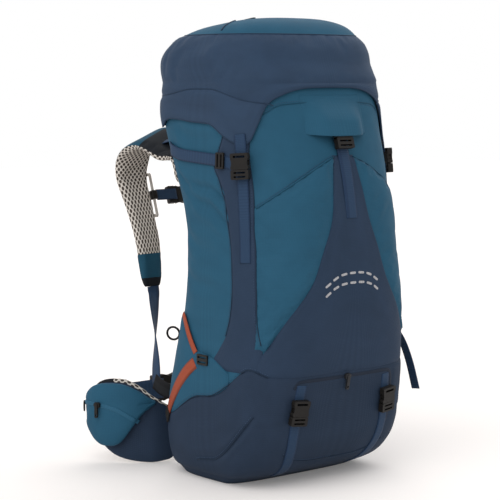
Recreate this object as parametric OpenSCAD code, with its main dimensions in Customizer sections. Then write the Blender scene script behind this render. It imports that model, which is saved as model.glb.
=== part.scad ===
// Travel backpack: a tall top-loading pack with a flip-up lid, a ventilated back, a padded
// shoulder harness, a padded hip belt, and webbing straps closed by side-release buckles.
// Millimetres. +Z is up, -Y is the front of the bag, +Y points to the wearer, and the origin
// is under the middle of the base, on the ground. Angles on the bag's skin go anticlockwise
// from +X, so 90 is the back, 180 is the left side and 270 is the front.

/* [Bag] */
// Width of the bag at half height
bag_w = 346; // [310:1:390]
// Reach of the bag's front from the origin
bag_front = 172; // [155:1:195]
// Reach of the bag's back from the origin, before it arches in
bag_back = 152; // [135:1:170]
// Height of the bag's mouth
bag_h = 672; // [630:1:715]
// Depth that the back arches in by
back_arch = 58; // [35:1:66]
// Thickness of the bag's wall, fabric and lining
wall = 3; // [2:0.5:5]
// Thickness of a sewn-on panel
panel_t = 2.4; // [1.5:0.1:4]
// Clearance between a sewn-on panel and the skin below it
panel_gap = 0.6; // [0.5:0.05:0.9]
// Height of the extension collar that hangs inside the mouth
collar_h = 66; // [40:1:100]

/* [Lid] */
// Height of the lid pocket above the bag's mouth
lid_h = 104; // [85:1:125]
// Thickness of the lid's skirt
lid_t = 2.6; // [2:0.1:4]
// Clearance between the lid's skirt and the bag
lid_gap = 2.4; // [2:0.1:4]
// Clearance between the lid's underside and the bag's rim
lid_seat = 0.4; // [0.3:0.05:0.8]
// Drop of the lid's crown over the reach of its back half
lid_tilt = 18; // [0:1:28]
// Distance of the lid's rear edge and its hinge line below the mouth
lid_rear_drop = 70; // [60:1:76]

/* [Webbing and buckles] */
// Width of the lid, side and base webbing
web_w = 20; // [15:1:25]
// Width of the front strap's webbing
front_web_w = 25; // [20:1:30]
// Width of the sternum strap's webbing
sternum_web_w = 20; // [15:1:25]
// Width of the hip belt's webbing
belt_web_w = 38; // [30:1:45]
// Thickness of all webbing
web_t = 1.5; // [1.2:0.1:2]
// How far a buckle is wider than its webbing, on each side
buckle_side = 6; // [5:0.5:8]
// Thickness of a buckle
buckle_t = 9; // [8:0.5:12]
// Shell of a buckle socket
buckle_wall = 1.7; // [1.4:0.1:2.2]
// Clearance between a plug and its socket, and between webbing and hardware
fit_gap = 0.4; // [0.3:0.05:0.6]
// Thickness of a ladder lock
lock_t = 3.4; // [2.5:0.1:5]

/* [Harness] */
// Width of a shoulder strap
strap_w = 76; // [60:1:84]
// Thickness of a shoulder strap
strap_t = 15; // [10:1:18]
// Distance of each shoulder strap's root from the middle
strap_root_x = 84; // [76:1:90]
// Width of the webbing below a shoulder strap
strap_web_w = 25; // [20:1:30]
// Thickness of the yoke that carries the shoulder straps
yoke_t = 9; // [6:1:12]
// Diameter of the frame tube
tube_d = 7; // [5:0.5:9]
// Distance of each frame stay from the middle
stay_x = 112; // [100:1:120]
// How far the back mesh bows away from the frame
mesh_bow = 18; // [8:1:22]
// Thickness of the back mesh
mesh_t = 3; // [2:0.5:5]
// Diameter of the rail that the sternum strap slides on
rail_d = 5; // [4:0.5:6]

/* [Hip belt] */
// Half width of the lumbar pad
lumbar_x = 92; // [80:1:98]
// Thickness of the lumbar pad
lumbar_t = 12; // [8:1:16]
// Thickness of a hip belt wing
wing_t = 15; // [10:1:18]
// Bulge of a hip belt pocket
belt_pocket_t = 24; // [15:1:30]

/* [Hidden] */

// Shares of the height, each with a share of the width, front reach, back reach or arch
width_shape = [[0, 0.84], [0.04, 0.95], [0.12, 1.03], [0.22, 1.04], [0.37, 1.03], [0.52, 1.01],
    [0.67, 0.99], [0.79, 0.97], [0.9, 0.96], [1, 0.955]];
front_shape = [[0, 0.20], [0.04, 0.54], [0.08, 0.69], [0.13, 0.775], [0.2, 0.825], [0.28, 0.885],
    [0.37, 0.95], [0.45, 0.98], [0.52, 0.985], [0.67, 0.945], [0.79, 0.855], [0.9, 0.73], [1, 0.62]];
back_shape = [[0, 0.98], [0.04, 1.05], [0.12, 1.03], [0.22, 1.02], [0.52, 1.01], [0.79, 1.01],
    [0.9, 1.09], [1, 1.19]];
arch_shape = [[0, 0], [0.04, 0], [0.12, 0], [0.22, 0.2], [0.37, 0.72], [0.52, 1], [0.67, 0.92],
    [0.79, 0.45], [0.9, 0.03], [1, 0]];
// How square the front's plan is over the height, and how square the back's is
front_square = [[0, 3.6], [0.1, 4.2], [0.25, 3.9], [0.55, 2.7], [1, 2.6]];
back_square = [[0, 4], [0.62, 4], [0.8, 6], [0.9, 5.6], [1, 4]];
skin_cols = 48;
bag_rows = [0, 0.015, 0.045, 0.09, 0.15, 0.185, 0.22, 0.3, 0.37, 0.445, 0.52, 0.6, 0.67, 0.73, 0.79,
    0.84, 0.89, 0.92, 0.96, 1];

// Lid: drop of its lower edge below the mouth, over the angle from the front's middle
edge_drop = [[0, 7], [15, 9], [29, 18], [43, 36], [52, 68], [60, 96], [70, 98], [80, 86], [92, 64],
    [104, lid_rear_drop - 10], [140, lid_rear_drop - 4], [180, lid_rear_drop]];
// Lid: shares of the crown's height, each with a share of its plan and its shift to the back
crown = [[0.25, 0.975, 13], [0.46, 0.955, 16], [0.66, 0.89, 17], [0.83, 0.775, 18], [0.94, 0.59, 18],
    [1, 0.38, 18]];
hinge_y = skin(90, bag_h - lid_rear_drop)[1] + lid_gap + lid_t + 14;
hinge_z = bag_h - lid_rear_drop - 2;

// Heights of the seams and fittings, measured from the ground or down from the mouth
boot_low = 30;
boot_edge = [[0, 180], [46, 182], [64, 200], [90, 172], [130, 122]];
pocket_rise = 12;
pocket_apex = bag_h - 114;
pocket_fall = 92;
pocket_half = 60;
corner_low = 212;
corner_end = 209;
corner_top = bag_h - 124;
base_zip_z = 186;
base_zip_w = 7;
lid_strap_t = 204;
lid_mouth_z = bag_h - 140;
front_mouth_z = bag_h - 92;
pad_strap_t = 253;
pad_mouth_z = 130;
side_strap_z = bag_h - 127;
cinch_t = 180;
cinch_z = 213;
on_panel = panel_gap + panel_t + fit_gap;

// Frame and back
frame_gap = 1.4;
frame_low = 60;
frame_high = bag_h - 122;
bow_h = 32;
lumbar_low = 30;
lumbar_high = 150;
yoke_low = bag_h - 212;
yoke_high = bag_h - 118;
strap_low = bag_h - 174;
strap_bend = bag_h - 126;
// Shoulder strap from where it leaves the yoke: across from its root, back, and up
strap_route = [[4, 35, 8], [8, 88, 26], [11, 130, 4], [10, 146, -42], [6, 127, -103],
    [3, 107, -168], [2, 96, -240]];
// Fall of the strap's outer edge over its width, by the share of its length
strap_roll = [[0, 0], [0.14, 0], [0.25, 0.25], [0.375, 0.45], [0.5, 0.25], [0.58, 0], [1, 0]];
// Stretch of the strap, as a share of its length, that the sternum rail lies along
rail_span = [0.625, 0.775];
// Hip belt wing in plan from its hinge, as shares of its length with points
wing_route = [[0, [0, 0]], [0.22, [42, 14]], [0.52, [80, 52]], [0.83, [94, 96]], [1, [96, 118]]];
wing_top = [[0, 96], [0.22, 124], [0.5, 150], [0.8, 143], [1, 118]];
wing_low = [[0, 12], [0.22, 8], [0.5, 13], [0.72, 27], [0.86, 46], [1, 78]];
roll_r = wing_t / 2 + 0.6;
wing_hinge = [lumbar_x + fit_gap + roll_r,
    max([for (z = [wing_low[0][1] : 6 : wing_top[0][1]]) back_y(z)]) + roll_r];
pocket_from = 0.42;
pocket_to = 0.97;
belt_lead = 44;

// Colours
teal = "#2a6670";
navy = "#1d2433";
black = "#17181b";
mesh_grey = "#c9c5bb";
orange = "#e0602a";
metal = "#8d9296";

// Curves, frames and lofts
function lerp(a, b, k) = a + (b - a) * k;
function unit(v) = v / norm(v);
function below(tab, k, i = 0) =
    i >= len(tab) - 2 || k < tab[i + 1][0] ? i : below(tab, k, i + 1);
function rise(tab, i) =
    let (lo = tab[max(i - 1, 0)], hi = tab[min(i + 1, len(tab) - 1)])
    (hi[1] - lo[1]) / (hi[0] - lo[0]);
// Smooth curve through a list of keys and values, which may be points
function curve(tab, k) =
    let (i = below(tab, k), a = tab[i], b = tab[i + 1], h = b[0] - a[0],
         u = min(max((k - a[0]) / h, 0), 1), v = 1 - u)
    a[1] * v * v * (1 + 2 * u) + b[1] * u * u * (1 + 2 * v)
    + (rise(tab, i) * v - rise(tab, i + 1) * u) * h * u * v;
// Placement with Y along a strap and Z out of it
function frame(p, along, out) =
    let (y = unit(along), x = unit(cross(y, out)), z = cross(x, y))
    [[x.x, y.x, z.x, p.x], [x.y, y.y, z.y, p.y], [x.z, y.z, z.z, p.z], [0, 0, 0, 1]];
function along(pts, i) = unit(pts[min(i + 1, len(pts) - 1)] - pts[max(i - 1, 0)]);

// Solid through rings of points, closed by a flat face at each end. The side that starts at the
// turned point has its facets split the other way, so that a twisted band keeps its thickness.
module loft(rings, turned = -1) {
    n = len(rings[0]);
    m = len(rings);
    sides = [for (i = [0 : m - 2], j = [0 : n - 1])
        let (a = i * n + j, b = i * n + (j + 1) % n)
        each (j == turned ? [[a, a + n, b], [a + n, b + n, b]] : [[a, a + n, b + n], [a, b + n, b]])];
    ends = [[for (j = [0 : n - 1]) j], [for (j = [n - 1 : -1 : 0]) (m - 1) * n + j]];
    polyhedron([for (r = rings) each r], concat(sides, ends));
}

// Tube wall through rings of points, whose last ring joins its first
module tube_wall(rings) {
    n = len(rings[0]);
    m = len(rings);
    faces = [for (i = [0 : m - 1], j = [0 : n - 1])
        let (k = (j + 1) % n, a = i * n + j, b = i * n + k, e = (i + 1) % m * n)
        each [[a, e + j, e + k], [a, e + k, b]]];
    polyhedron([for (r = rings) each r], faces);
}

// Thin solid between two grids of points, with rows going up and columns to the right
module slab(inner, outer) {
    rows = len(inner) - 1;
    cols = len(inner[0]) - 1;
    o = (rows + 1) * (cols + 1);
    function at(r, c) = r * (cols + 1) + c;
    faces = [for (r = [0 : rows - 1], c = [0 : cols - 1])
        let (a = at(r, c), b = at(r, c + 1), d = at(r + 1, c), e = at(r + 1, c + 1))
        each [[a, b, e], [a, e, d], [o + a, o + e, o + b], [o + a, o + d, o + e]]];
    ends = [for (c = [0 : cols - 1])
        let (a = at(0, c), b = at(0, c + 1), d = at(rows, c), e = at(rows, c + 1))
        each [[o + a, o + b, b], [o + a, b, a], [o + e, o + d, d], [o + e, d, e]]];
    edges = [for (r = [0 : rows - 1])
        let (a = at(r, 0), d = at(r + 1, 0), b = at(r, cols), e = at(r + 1, cols))
        each [[o + d, o + a, a], [o + d, a, d], [o + b, o + e, e], [o + b, e, b]]];
    polyhedron(concat([for (r = inner) each r], [for (r = outer) each r]),
        concat(faces, ends, edges));
}

// Flat webbing along the middle of its inner face
module band(pts, outs, w = web_w, t = web_t) {
    loft([for (i = [0 : len(pts) - 1])
        let (dir = along(pts, i), side = unit(cross(dir, outs[i])) * w / 2,
             up = unit(cross(side, dir)) * t)
        [pts[i] + side, pts[i] - side, pts[i] - side + up, pts[i] + side + up]], turned = 2);
}

// Padded or tubular form along a route, its wide axis held near one direction, or near one per point
module sweep(pts, wides, sections) {
    loft([for (i = [0 : len(pts) - 1])
        let (dir = along(pts, i), wide = wides[min(i, len(wides) - 1)],
             a = unit(wide - dir * (wide * dir)), b = cross(dir, a))
        [for (s = sections[i]) pts[i] + a * s.x + b * s.y]]);
}

function signed_pow(v, p) = sign(v) * pow(abs(v), p);
// Rounded pad section with half sizes a and b
function pad_section(a, b, n = 12, square = 3.4) = [for (i = [0 : n - 1])
    let (q = 360 * (i + 0.5) / n)
    [a * signed_pow(cos(q), 2 / square), b * signed_pow(sin(q), 2 / square)]];
function disc(r, n = 8) = [for (i = [0 : n - 1]) r * [cos(360 * i / n), sin(360 * i / n)]];

module mirrored(left) {
    mirror([left ? 1 : 0, 0, 0]) children();
}

module both_sides() {
    for (left = [false, true]) mirrored(left) children();
}

// Rectangle with round corners
module rounded(w, l, r) {
    square([w - 2 * r, l], center = true);
    square([w, l - 2 * r], center = true);
    for (x = [-1, 1], y = [-1, 1]) translate([x * (w / 2 - r), y * (l / 2 - r)]) circle(r, $fn = 32);
}

// Skin of the bag
function half_w(z) = bag_w / 2 * curve(width_shape, z / bag_h);
function front_r(z) = bag_front * curve(front_shape, z / bag_h);
function back_r(z) = bag_back * curve(back_shape, z / bag_h) - back_arch * curve(arch_shape, z / bag_h);
function skin(t, z, d = 0) =
    let (front = sin(t) < 0, n = curve(front ? front_square : back_square, z / bag_h),
         r = front ? front_r(z) : back_r(z))
    [(half_w(z) + d) * signed_pow(cos(t), 2 / n), (r + d) * signed_pow(sin(t), 2 / n), z];
function skin_out(t, z) =
    unit(cross(skin(t + 1, z) - skin(t - 1, z), skin(t, z + 2) - skin(t, z - 2)));
function skin_ring(z, d) = [for (i = [0 : skin_cols - 1]) skin(360 * i / skin_cols, z, d)];
// Angle from the front's middle
function from_front(t) = abs(t - 270);
function boot_top(t) = curve(boot_edge, from_front(t));
// Angle on the left corner where the navy panel starts, over the height
function corner_start(z) = curve([[corner_low, 185], [corner_low + 60, 190],
    [corner_top - 150, 191], [corner_top, 184]], z);

// Panel on the skin: place gives the angle, the height and the distance off the skin
module skin_panel(nu, nv, place, t = panel_t) {
    grid = function (d) [for (v = [0 : nv]) [for (u = [0 : nu])
        let (p = place(u / nu, v / nv)) skin(p[0], p[1], p[2] + d)]];
    slab(grid(0), grid(t));
}

// Webbing on the skin through knots of angle, height and distance off the skin
module skin_band(knots, w = web_w) {
    band([for (k = knots) skin(k[0], k[1], k[2])], [for (k = knots) skin_out(k[0], k[1])], w);
}

// Knots between two places on the skin
function skin_run(a, b, n) = [for (i = [0 : n]) lerp(a, b, i / n)];

// Side-release buckle in its strap's frame, with the socket's mouth at Y = 0
function buckle_w(web) = web + 2 * buckle_side;
function prong_l(web) = 0.55 * web + 4;
function plug_l(web) = 0.4 * web + 8;
slot_l = 3.6;
bar_l = 4;
buckle_lift = web_t + fit_gap;
buckle_corner = 2.5;
prong_w = 3.4;
guide_w = 4.4;
function socket_l(web) = prong_l(web) + 4 + slot_l + bar_l;
function cavity_w(web) = buckle_w(web) - 2 * buckle_wall - 1;

module socket(web) {
    w = buckle_w(web);
    l = socket_l(web);
    deep = prong_l(web) + 1.5;
    hollow = buckle_t - 2 * buckle_wall;
    translate([0, 0, buckle_lift]) difference() {
        linear_extrude(buckle_t) difference() {
            translate([0, l / 2]) rounded(w, l, buckle_corner);
            translate([0, l - bar_l - slot_l / 2]) square([web + 1, slot_l], center = true);
        }
        translate([-cavity_w(web) / 2, -1, buckle_wall]) cube([cavity_w(web), deep + 1, hollow]);
        // Side windows where the prongs are pressed
        translate([-w, deep * 0.4, buckle_wall]) cube([2 * w, deep * 0.5, hollow]);
        // Finger scallop on each side
        for (x = [-1, 1])
            translate([x * (w / 2 + 0.9 * deep), deep * 0.65, -1]) cylinder(buckle_t + 2, r = deep, $fn = 64);
    }
}

module plug(web) {
    w = buckle_w(web);
    l = plug_l(web);
    reach = prong_l(web);
    outer = cavity_w(web) / 2 - fit_gap;
    neck = outer - 1.4;
    translate([0, 0, buckle_lift]) {
        linear_extrude(buckle_t) difference() {
            translate([0, -fit_gap - l / 2]) rounded(w, l, buckle_corner);
            for (y = [0.3, 0.72])
                translate([0, -fit_gap - l * y]) square([web + 1, slot_l - 0.8], center = true);
        }
        translate([0, 0, buckle_wall + fit_gap]) linear_extrude(buckle_t - 2 * (buckle_wall + fit_gap)) {
            translate([-guide_w / 2, -fit_gap - 1]) square([guide_w, reach * 0.85 + 1]);
            for (x = [-1, 1]) scale([x, 1]) polygon([
                [neck - prong_w, -fit_gap - 1], [neck, -fit_gap - 1], [neck, reach * 0.45],
                [outer, reach * 0.5], [outer, reach * 0.72], [outer - 1.6, reach],
                [outer - prong_w, reach], [neck - prong_w, reach * 0.6]]);
        }
    }
}

// Ladder lock lying on its webbing
module ladder_lock(web = web_w) {
    translate([0, 0, web_t + fit_gap]) linear_extrude(lock_t) difference() {
        rounded(web + 7, 0.9 * web, 2);
        for (y = [-1, 1]) translate([0, y * 0.2 * web]) square([web + 1, 0.15 * web], center = true);
    }
}

// Zip slider with its pull, moving along X, on a face at Z = 0
slider_w = 9;
slider_l = 12;
slider_t = 4.5;
pull_w = 6;
pull_l = 26;
pull_t = 1.6;
module zip_slider() {
    translate([0, 0, fit_gap]) {
        linear_extrude(slider_t) difference() {
            rounded(slider_l, slider_w, 2);
            for (y = [-1, 1]) translate([slider_l / 2, y * slider_w / 2]) circle(2.2, $fn = 32);
        }
        translate([0, -pull_l / 2 + 3, slider_t - pull_t]) linear_extrude(2 * pull_t) difference() {
            rounded(pull_w, pull_l, 2.4);
            translate([0, -pull_l / 2 + 5]) circle(1.8, $fn = 32);
        }
    }
}

// Bag and what is sewn on it
module main_bag() {
    color(teal) loft(concat(
        [for (s = bag_rows) skin_ring(s * bag_h, 0)],
        [for (i = [len(bag_rows) - 1 : -1 : 1]) skin_ring(bag_rows[i] * bag_h, -wall)]));
}

collar_off = wall + 1.5 * panel_gap;
module extension_collar() {
    top = bag_h - 4;
    zs = [for (i = [0 : 3]) top - collar_h * (1 - i / 3)];
    color(navy) tube_wall(concat([for (z = zs) skin_ring(z, -collar_off)],
        [for (i = [3 : -1 : 0]) skin_ring(zs[i], -collar_off - panel_t)]));
}

// Cord lock on the draw cord in the collar's lower hem: a barrel with a button and a cord hole
lock_r = 8;
lock_h = 20;
button_r = 4.4;
button_h = 17;
button_out = 6;
cord_d = 3;
lock_z = bag_h - collar_h;
lock_y = skin(270, lock_z + lock_h, -collar_off - panel_t - fit_gap)[1] + lock_r;

module collar_cord_lock() {
    color(black) translate([0, lock_y, lock_z]) difference() {
        cylinder(lock_h, r = lock_r, $fn = 48);
        translate([0, 0, 2]) cylinder(lock_h, r = button_r + fit_gap, $fn = 48);
        translate([0, 0, lock_h * 0.6]) rotate([0, 90, 0])
            cylinder(3 * lock_r, d = cord_d + 1, center = true, $fn = 24);
    }
}

module cord_lock_button() {
    color(black) translate([0, lock_y, lock_z + lock_h + button_out - button_h]) difference() {
        cylinder(button_h, r = button_r, $fn = 48);
        translate([0, 0, button_h * 0.5]) rotate([0, 90, 0])
            cylinder(3 * button_r, d = cord_d + 1, center = true, $fn = 24);
    }
}

module front_pocket() {
    color(navy) skin_panel(24, 9, function (u, v)
        let (t = 270 + (2 * u - 1) * pocket_half,
             top = pocket_apex - pocket_fall * pow(abs(2 * u - 1), 1.1))
        [t, lerp(boot_top(t) + pocket_rise, top, v), panel_gap]);
}

// Hood over the front buckle, open below and drawn down at its sides
hood_half = 12;
hood_low = bag_h - 84;
hood_top = bag_h - 30;
module front_hood() {
    rise = front_lift + buckle_lift + buckle_t + 3;
    color(teal) skin_panel(10, 5, function (u, v)
        let (flat = max(pow(v, 3.4), pow(abs(2 * u - 1), 5)))
        [270 + (2 * u - 1) * hood_half, lerp(hood_low, hood_top, v), lerp(rise, panel_gap, flat)]);
}

// Angles between which the base panel wraps the bag
boot_ends = [142.5, 397.5];
module base_boot() {
    color(navy) skin_panel(34, 10, function (u, v)
        let (t = lerp(boot_ends[0], boot_ends[1], u))
        [t, lerp(boot_low, boot_top(t), pow(v, 1.8)), panel_gap]);
}

// Angles between which the base zip runs
base_zip_ends = [250, 290];
module base_zip() {
    color(black) skin_panel(12, 1, function (u, v)
        [lerp(base_zip_ends[0], base_zip_ends[1], u), base_zip_z + (v - 0.5) * base_zip_w, panel_gap]);
}

module base_zip_slider() {
    up = skin(270, base_zip_z + 2) - skin(270, base_zip_z - 2);
    color(metal) multmatrix(frame(skin(270, base_zip_z, panel_gap + panel_t), up, [0, -1, 0])) zip_slider();
}

module corner_panel() {
    color(navy) skin_panel(4, 12, function (u, v)
        let (z = lerp(corner_low, corner_top, v)) [lerp(corner_start(z), corner_end, u), z, panel_gap]);
}

module left_corner_panel() {
    corner_panel();
}

module right_corner_panel() {
    mirrored(true) corner_panel();
}

module side_pocket() {
    color(teal) skin_panel(12, 5, function (u, v)
        let (t = lerp(142, 183, u), top = lerp(286, 240, u))
        [t, lerp(boot_top(t) + 3, top, v), panel_gap]);
}

module left_side_pocket() {
    side_pocket();
}

module right_side_pocket() {
    mirrored(true) side_pocket();
}

// Frame behind the bag, and the tensioned back on it
function frame_y(z) = back_r(z) + frame_gap + tube_d / 2;
function mesh_y(z) = frame_y(z) + tube_d / 2 + fit_gap
    + mesh_bow * max(0, sin(180 * (z - frame_low) / (frame_high - frame_low)));
function back_y(z) = mesh_y(z) + mesh_t + panel_gap;

module frame_stay() {
    zs = [for (i = [0 : 14]) lerp(frame_low, frame_high, i / 14)];
    color(metal) sweep([for (z = zs) [stay_x, frame_y(z), z]], [[1, 0, 0]],
        [for (z = zs) disc(tube_d / 2)]);
}

module left_frame_stay() {
    mirrored(true) frame_stay();
}

module right_frame_stay() {
    frame_stay();
}

module frame_top_bow() {
    as = [for (i = [0 : 14]) 180 - 180 * i / 14];
    pts = [for (a = as)
        let (z = frame_high + 2.6 * fit_gap + bow_h * sin(a)) [stay_x * cos(a), frame_y(z), z]];
    color(metal) sweep(pts, [[0, 1, 0]], [for (a = as) disc(tube_d / 2)]);
}

module frame_cross_bars() {
    l = 2 * (stay_x - tube_d / 2 - fit_gap);
    for (z = [frame_low + tube_d / 2, frame_high - tube_d / 2])
        color(metal) translate([0, frame_y(z), z]) rotate([0, 90, 0])
            cylinder(l, d = tube_d, center = true, $fn = 48);
}

// Plate on the back between two heights, from one surface out to another
module back_plate(z0, z1, half, near, far, rows = 8, cols = 4) {
    grid = function (y) [for (i = [0 : rows]) let (z = lerp(z0, z1, i / rows))
        [for (j = [0 : cols]) [half(i / rows) * (1 - 2 * j / cols), y(z), z]]];
    slab(grid(near), grid(far));
}

module back_mesh() {
    color(mesh_grey) back_plate(frame_low - 6, frame_high + 4, function (v) stay_x - 8,
        function (z) mesh_y(z), function (z) mesh_y(z) + mesh_t, 28, 2);
}

module lumbar_pad() {
    color(mesh_grey) back_plate(lumbar_low, lumbar_high, function (v) lumbar_x - 18 * pow(v, 3),
        function (z) back_y(z), function (z) back_y(z) + lumbar_t, 8);
}

module shoulder_yoke() {
    color(mesh_grey) back_plate(yoke_low, yoke_high, function (v) strap_root_x + 14 * v,
        function (z) back_y(z), function (z) back_y(z) + yoke_t, 8);
}

// Webbing arch that hangs from the top of the back
haul_z = bag_h - 91.8;
haul_half = 32;
haul_drop = 40;
haul_lean = [0, 0.5, -0.866];
haul_y = back_r(haul_z) + frame_gap + web_w / 2;
module haul_loop() {
    as = [for (i = [0 : 10]) 180 - 18 * i];
    color(black) band(
        [for (a = as) [haul_half * cos(a), haul_y, haul_z] + haul_lean * haul_drop * sin(a)],
        [for (a = as) [cos(a), 0, 0] + haul_lean * sin(a)]);
}

// Shoulder harness, drawn on the right and mirrored
function strap_y(z) = back_y(z) + yoke_t + fit_gap + 0.62 * strap_t;
strap_start = [strap_root_x, strap_y(strap_bend), strap_bend];
strap_knots = concat([[strap_root_x, strap_y(strap_low), strap_low], strap_start],
    [for (p = strap_route) strap_start + p]);
function strap_at(s) = curve([for (i = [0 : len(strap_knots) - 1])
    [i / (len(strap_knots) - 1), strap_knots[i]]], s);
strap_end = strap_at(1);
strap_end_dir = unit(strap_at(1) - strap_at(0.97));
strap_taper = [[0, 0.86], [0.2, 1], [0.5, 0.99], [0.64, 0.87], [0.8, 0.69], [0.92, 0.63], [1, 0.5]];
function strap_half(s) = strap_w / 2 * curve(strap_taper, s);
function strap_wide(s) = unit([1, 0, -curve(strap_roll, s)]);
module shoulder_strap() {
    n = 20;
    color(teal) sweep([for (i = [0 : n]) strap_at(i / n)], [for (i = [0 : n]) strap_wide(i / n)],
        [for (i = [0 : n]) pad_section(strap_half(i / n), strap_t / 2)]);
}

module left_shoulder_strap() {
    mirrored(true) shoulder_strap();
}

module right_shoulder_strap() {
    shoulder_strap();
}

module load_lifters() {
    top = strap_at(0.3);
    dir = strap_at(0.32) - strap_at(0.28);
    lift = unit(cross(dir, [-1, 0, 0]));
    rolled = unit(cross(dir, -strap_wide(0.3)));
    seat_z = frame_high + 0.78 * bow_h;
    p = top + rolled * (strap_t / 2 + fit_gap);
    q = [top.x - 6, frame_y(seat_z) + tube_d / 2 + fit_gap, seat_z];
    color(navy) both_sides() band([p, lerp(p, q, 0.5), q], [rolled, lift, lift]);
}

// Tab on the bag's lower back corner, and the webbing between it and the strap
tab_z = 150;
tab_w = 28;
tab_root = skin(52, tab_z - 16, panel_gap) + [0, 5, 0];
tab_end = [tab_root.x + 10, back_y(tab_z) + 10, tab_z];
module anchor_tabs() {
    bend = [tab_end.x, lerp(tab_root.y, tab_end.y, 0.4), lerp(tab_root.z, tab_end.z, 0.4)];
    color(black) both_sides() band([tab_root, bend, tab_end], [[1, 0, 0], [1, 0, 0], [1, 0, 0]], tab_w);
}

module strap_webbing() {
    n = 14;
    flat = cross([1, 0, 0], strap_end_dir);
    seat = tab_end - [web_t + fit_gap, 3, 0];
    start = strap_end + strap_end_dir * fit_gap;
    lead = start + strap_end_dir * 12;
    color(navy) both_sides() band(
        concat([start], [for (i = [0 : n]) lerp(lead, seat, i / n)]),
        concat([flat], [for (i = [0 : n]) lerp(flat, [1, 0, 0], min(i / n / 0.85, 1))]), strap_web_w);
}

// Ladder locks of the side and cinch straps
module ladder_locks() {
    color(black) both_sides() mirrored(true) {
        multmatrix(frame(skin(188, side_strap_z, on_panel), skin(196, side_strap_z) - skin(182, side_strap_z),
            skin_out(188, side_strap_z))) ladder_lock();
        multmatrix(frame(skin(cinch_t, cinch_z, on_panel - web_t), [0, 0, 1], skin_out(cinch_t, cinch_z)))
            ladder_lock(web_w);
    }
}

// Sternum strap: clips that run on a rail held by two lugs beside each shoulder strap
clip_w = 12;
clip_h = 16;
function strap_edge(s) = strap_at(s).x - strap_half(s);
rail_x = min(strap_edge(rail_span[0]), strap_edge(rail_span[1])) - clip_w / 2 - 2 * fit_gap;
rail_a = [rail_x, strap_at(rail_span[0]).y, strap_at(rail_span[0]).z];
rail_b = [rail_x, strap_at(rail_span[1]).y, strap_at(rail_span[1]).z];
rail_dir = unit(rail_b - rail_a);
rail_mid = lerp(rail_a, rail_b, 0.5);
module sternum_rails() {
    l = norm(rail_b - rail_a);
    color(black) both_sides() {
        multmatrix(frame(rail_a, [1, 0, 0], rail_dir)) cylinder(l, d = rail_d, $fn = 32);
        for (i = [0, 1]) translate(i == 0 ? rail_a : rail_b) rotate([0, 90, 0])
            cylinder(strap_edge(rail_span[i]) - rail_x - fit_gap, d = rail_d + 1, $fn = 32);
    }
}

module sternum_strap() {
    inner = rail_mid.x - clip_w / 2 - fit_gap;
    stop = socket_l(sternum_web_w) - bar_l - slot_l;
    out = unit(cross([1, 0, 0], rail_dir));
    mid = [0, rail_mid.y, rail_mid.z];
    color(black) both_sides() multmatrix(frame(rail_mid, [1, 0, 0], rail_dir)) difference() {
        translate([0, 0, -clip_h / 2]) linear_extrude(clip_h) rounded(clip_w, clip_w, 3);
        cylinder(2 * clip_h, d = rail_d + 2 * fit_gap, center = true, $fn = 32);
    }
    color(navy) band([mid + [inner, 0, 0], mid + [stop, 0, 0]], [out, out], sternum_web_w);
    color(navy) band([mid - [inner, 0, 0], mid - [fit_gap, 0, 0]], [out, out], sternum_web_w);
}

function sternum_frame() = frame([0, rail_mid.y, rail_mid.z], [1, 0, 0], cross([1, 0, 0], rail_dir));

module sternum_socket() {
    color(black) multmatrix(sternum_frame()) socket(sternum_web_w);
}

module sternum_plug() {
    color(black) multmatrix(sternum_frame()) plug(sternum_web_w);
}

// Hip belt, drawn on the right and mirrored
function wing_at(s) = let (p = curve(wing_route, s))
    [wing_hinge.x + p.x, wing_hinge.y + p.y, (curve(wing_top, s) + curve(wing_low, s)) / 2];
function wing_half(s) = (curve(wing_top, s) - curve(wing_low, s)) / 2;
function wing_dir(s) = let (v = wing_at(min(s + 0.02, 1)) - wing_at(max(s - 0.02, 0))) unit([v.x, v.y, 0]);
function wing_out(s) = cross(wing_dir(s), [0, 0, 1]);

module belt_wing() {
    n = 12;
    at = [for (i = [0 : n]) wing_at(i / n)];
    color(navy) union() {
        loft([for (i = [0 : n]) let (o = wing_out(i / n))
            [for (s = pad_section(wing_half(i / n), wing_t / 2)) at[i] + [0, 0, s.x] + o * s.y]]);
        // Rolled edge on the hinge line
        translate([wing_hinge.x, wing_hinge.y, wing_low[0][1] + 4])
            cylinder(wing_top[0][1] - wing_low[0][1] - 8, r = roll_r, $fn = 48);
    }
}

module left_belt_wing() {
    mirrored(true) belt_wing();
}

module right_belt_wing() {
    belt_wing();
}

module belt_pocket() {
    n = 10;
    bulge = [[0, 0.3], [0.25, 0.9], [0.5, 1], [0.8, 0.9], [1, 0.3]];
    color(teal) loft([for (i = [0 : n])
        let (s = lerp(pocket_from, pocket_to, i / n), t = belt_pocket_t * curve(bulge, i / n) / 2,
             c = wing_at(s) + wing_out(s) * (wing_t / 2 + fit_gap + t))
        [for (q = pad_section(wing_half(s) - 7, t)) c + [0, 0, q.x] + wing_out(s) * q.y]]);
}

module left_belt_pocket() {
    mirrored(true) belt_pocket();
}

module right_belt_pocket() {
    belt_pocket();
}

slider_at = 0.68;
module belt_zip_slider() {
    o = wing_out(slider_at);
    p = wing_at(slider_at) + o * (wing_t / 2 + fit_gap + belt_pocket_t) + [0, 0, 20];
    color(black) multmatrix(frame(p, [0, 0, 1], o)) zip_slider();
}

module left_belt_zip_slider() {
    mirrored(true) belt_zip_slider();
}

module right_belt_zip_slider() {
    belt_zip_slider();
}

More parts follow.
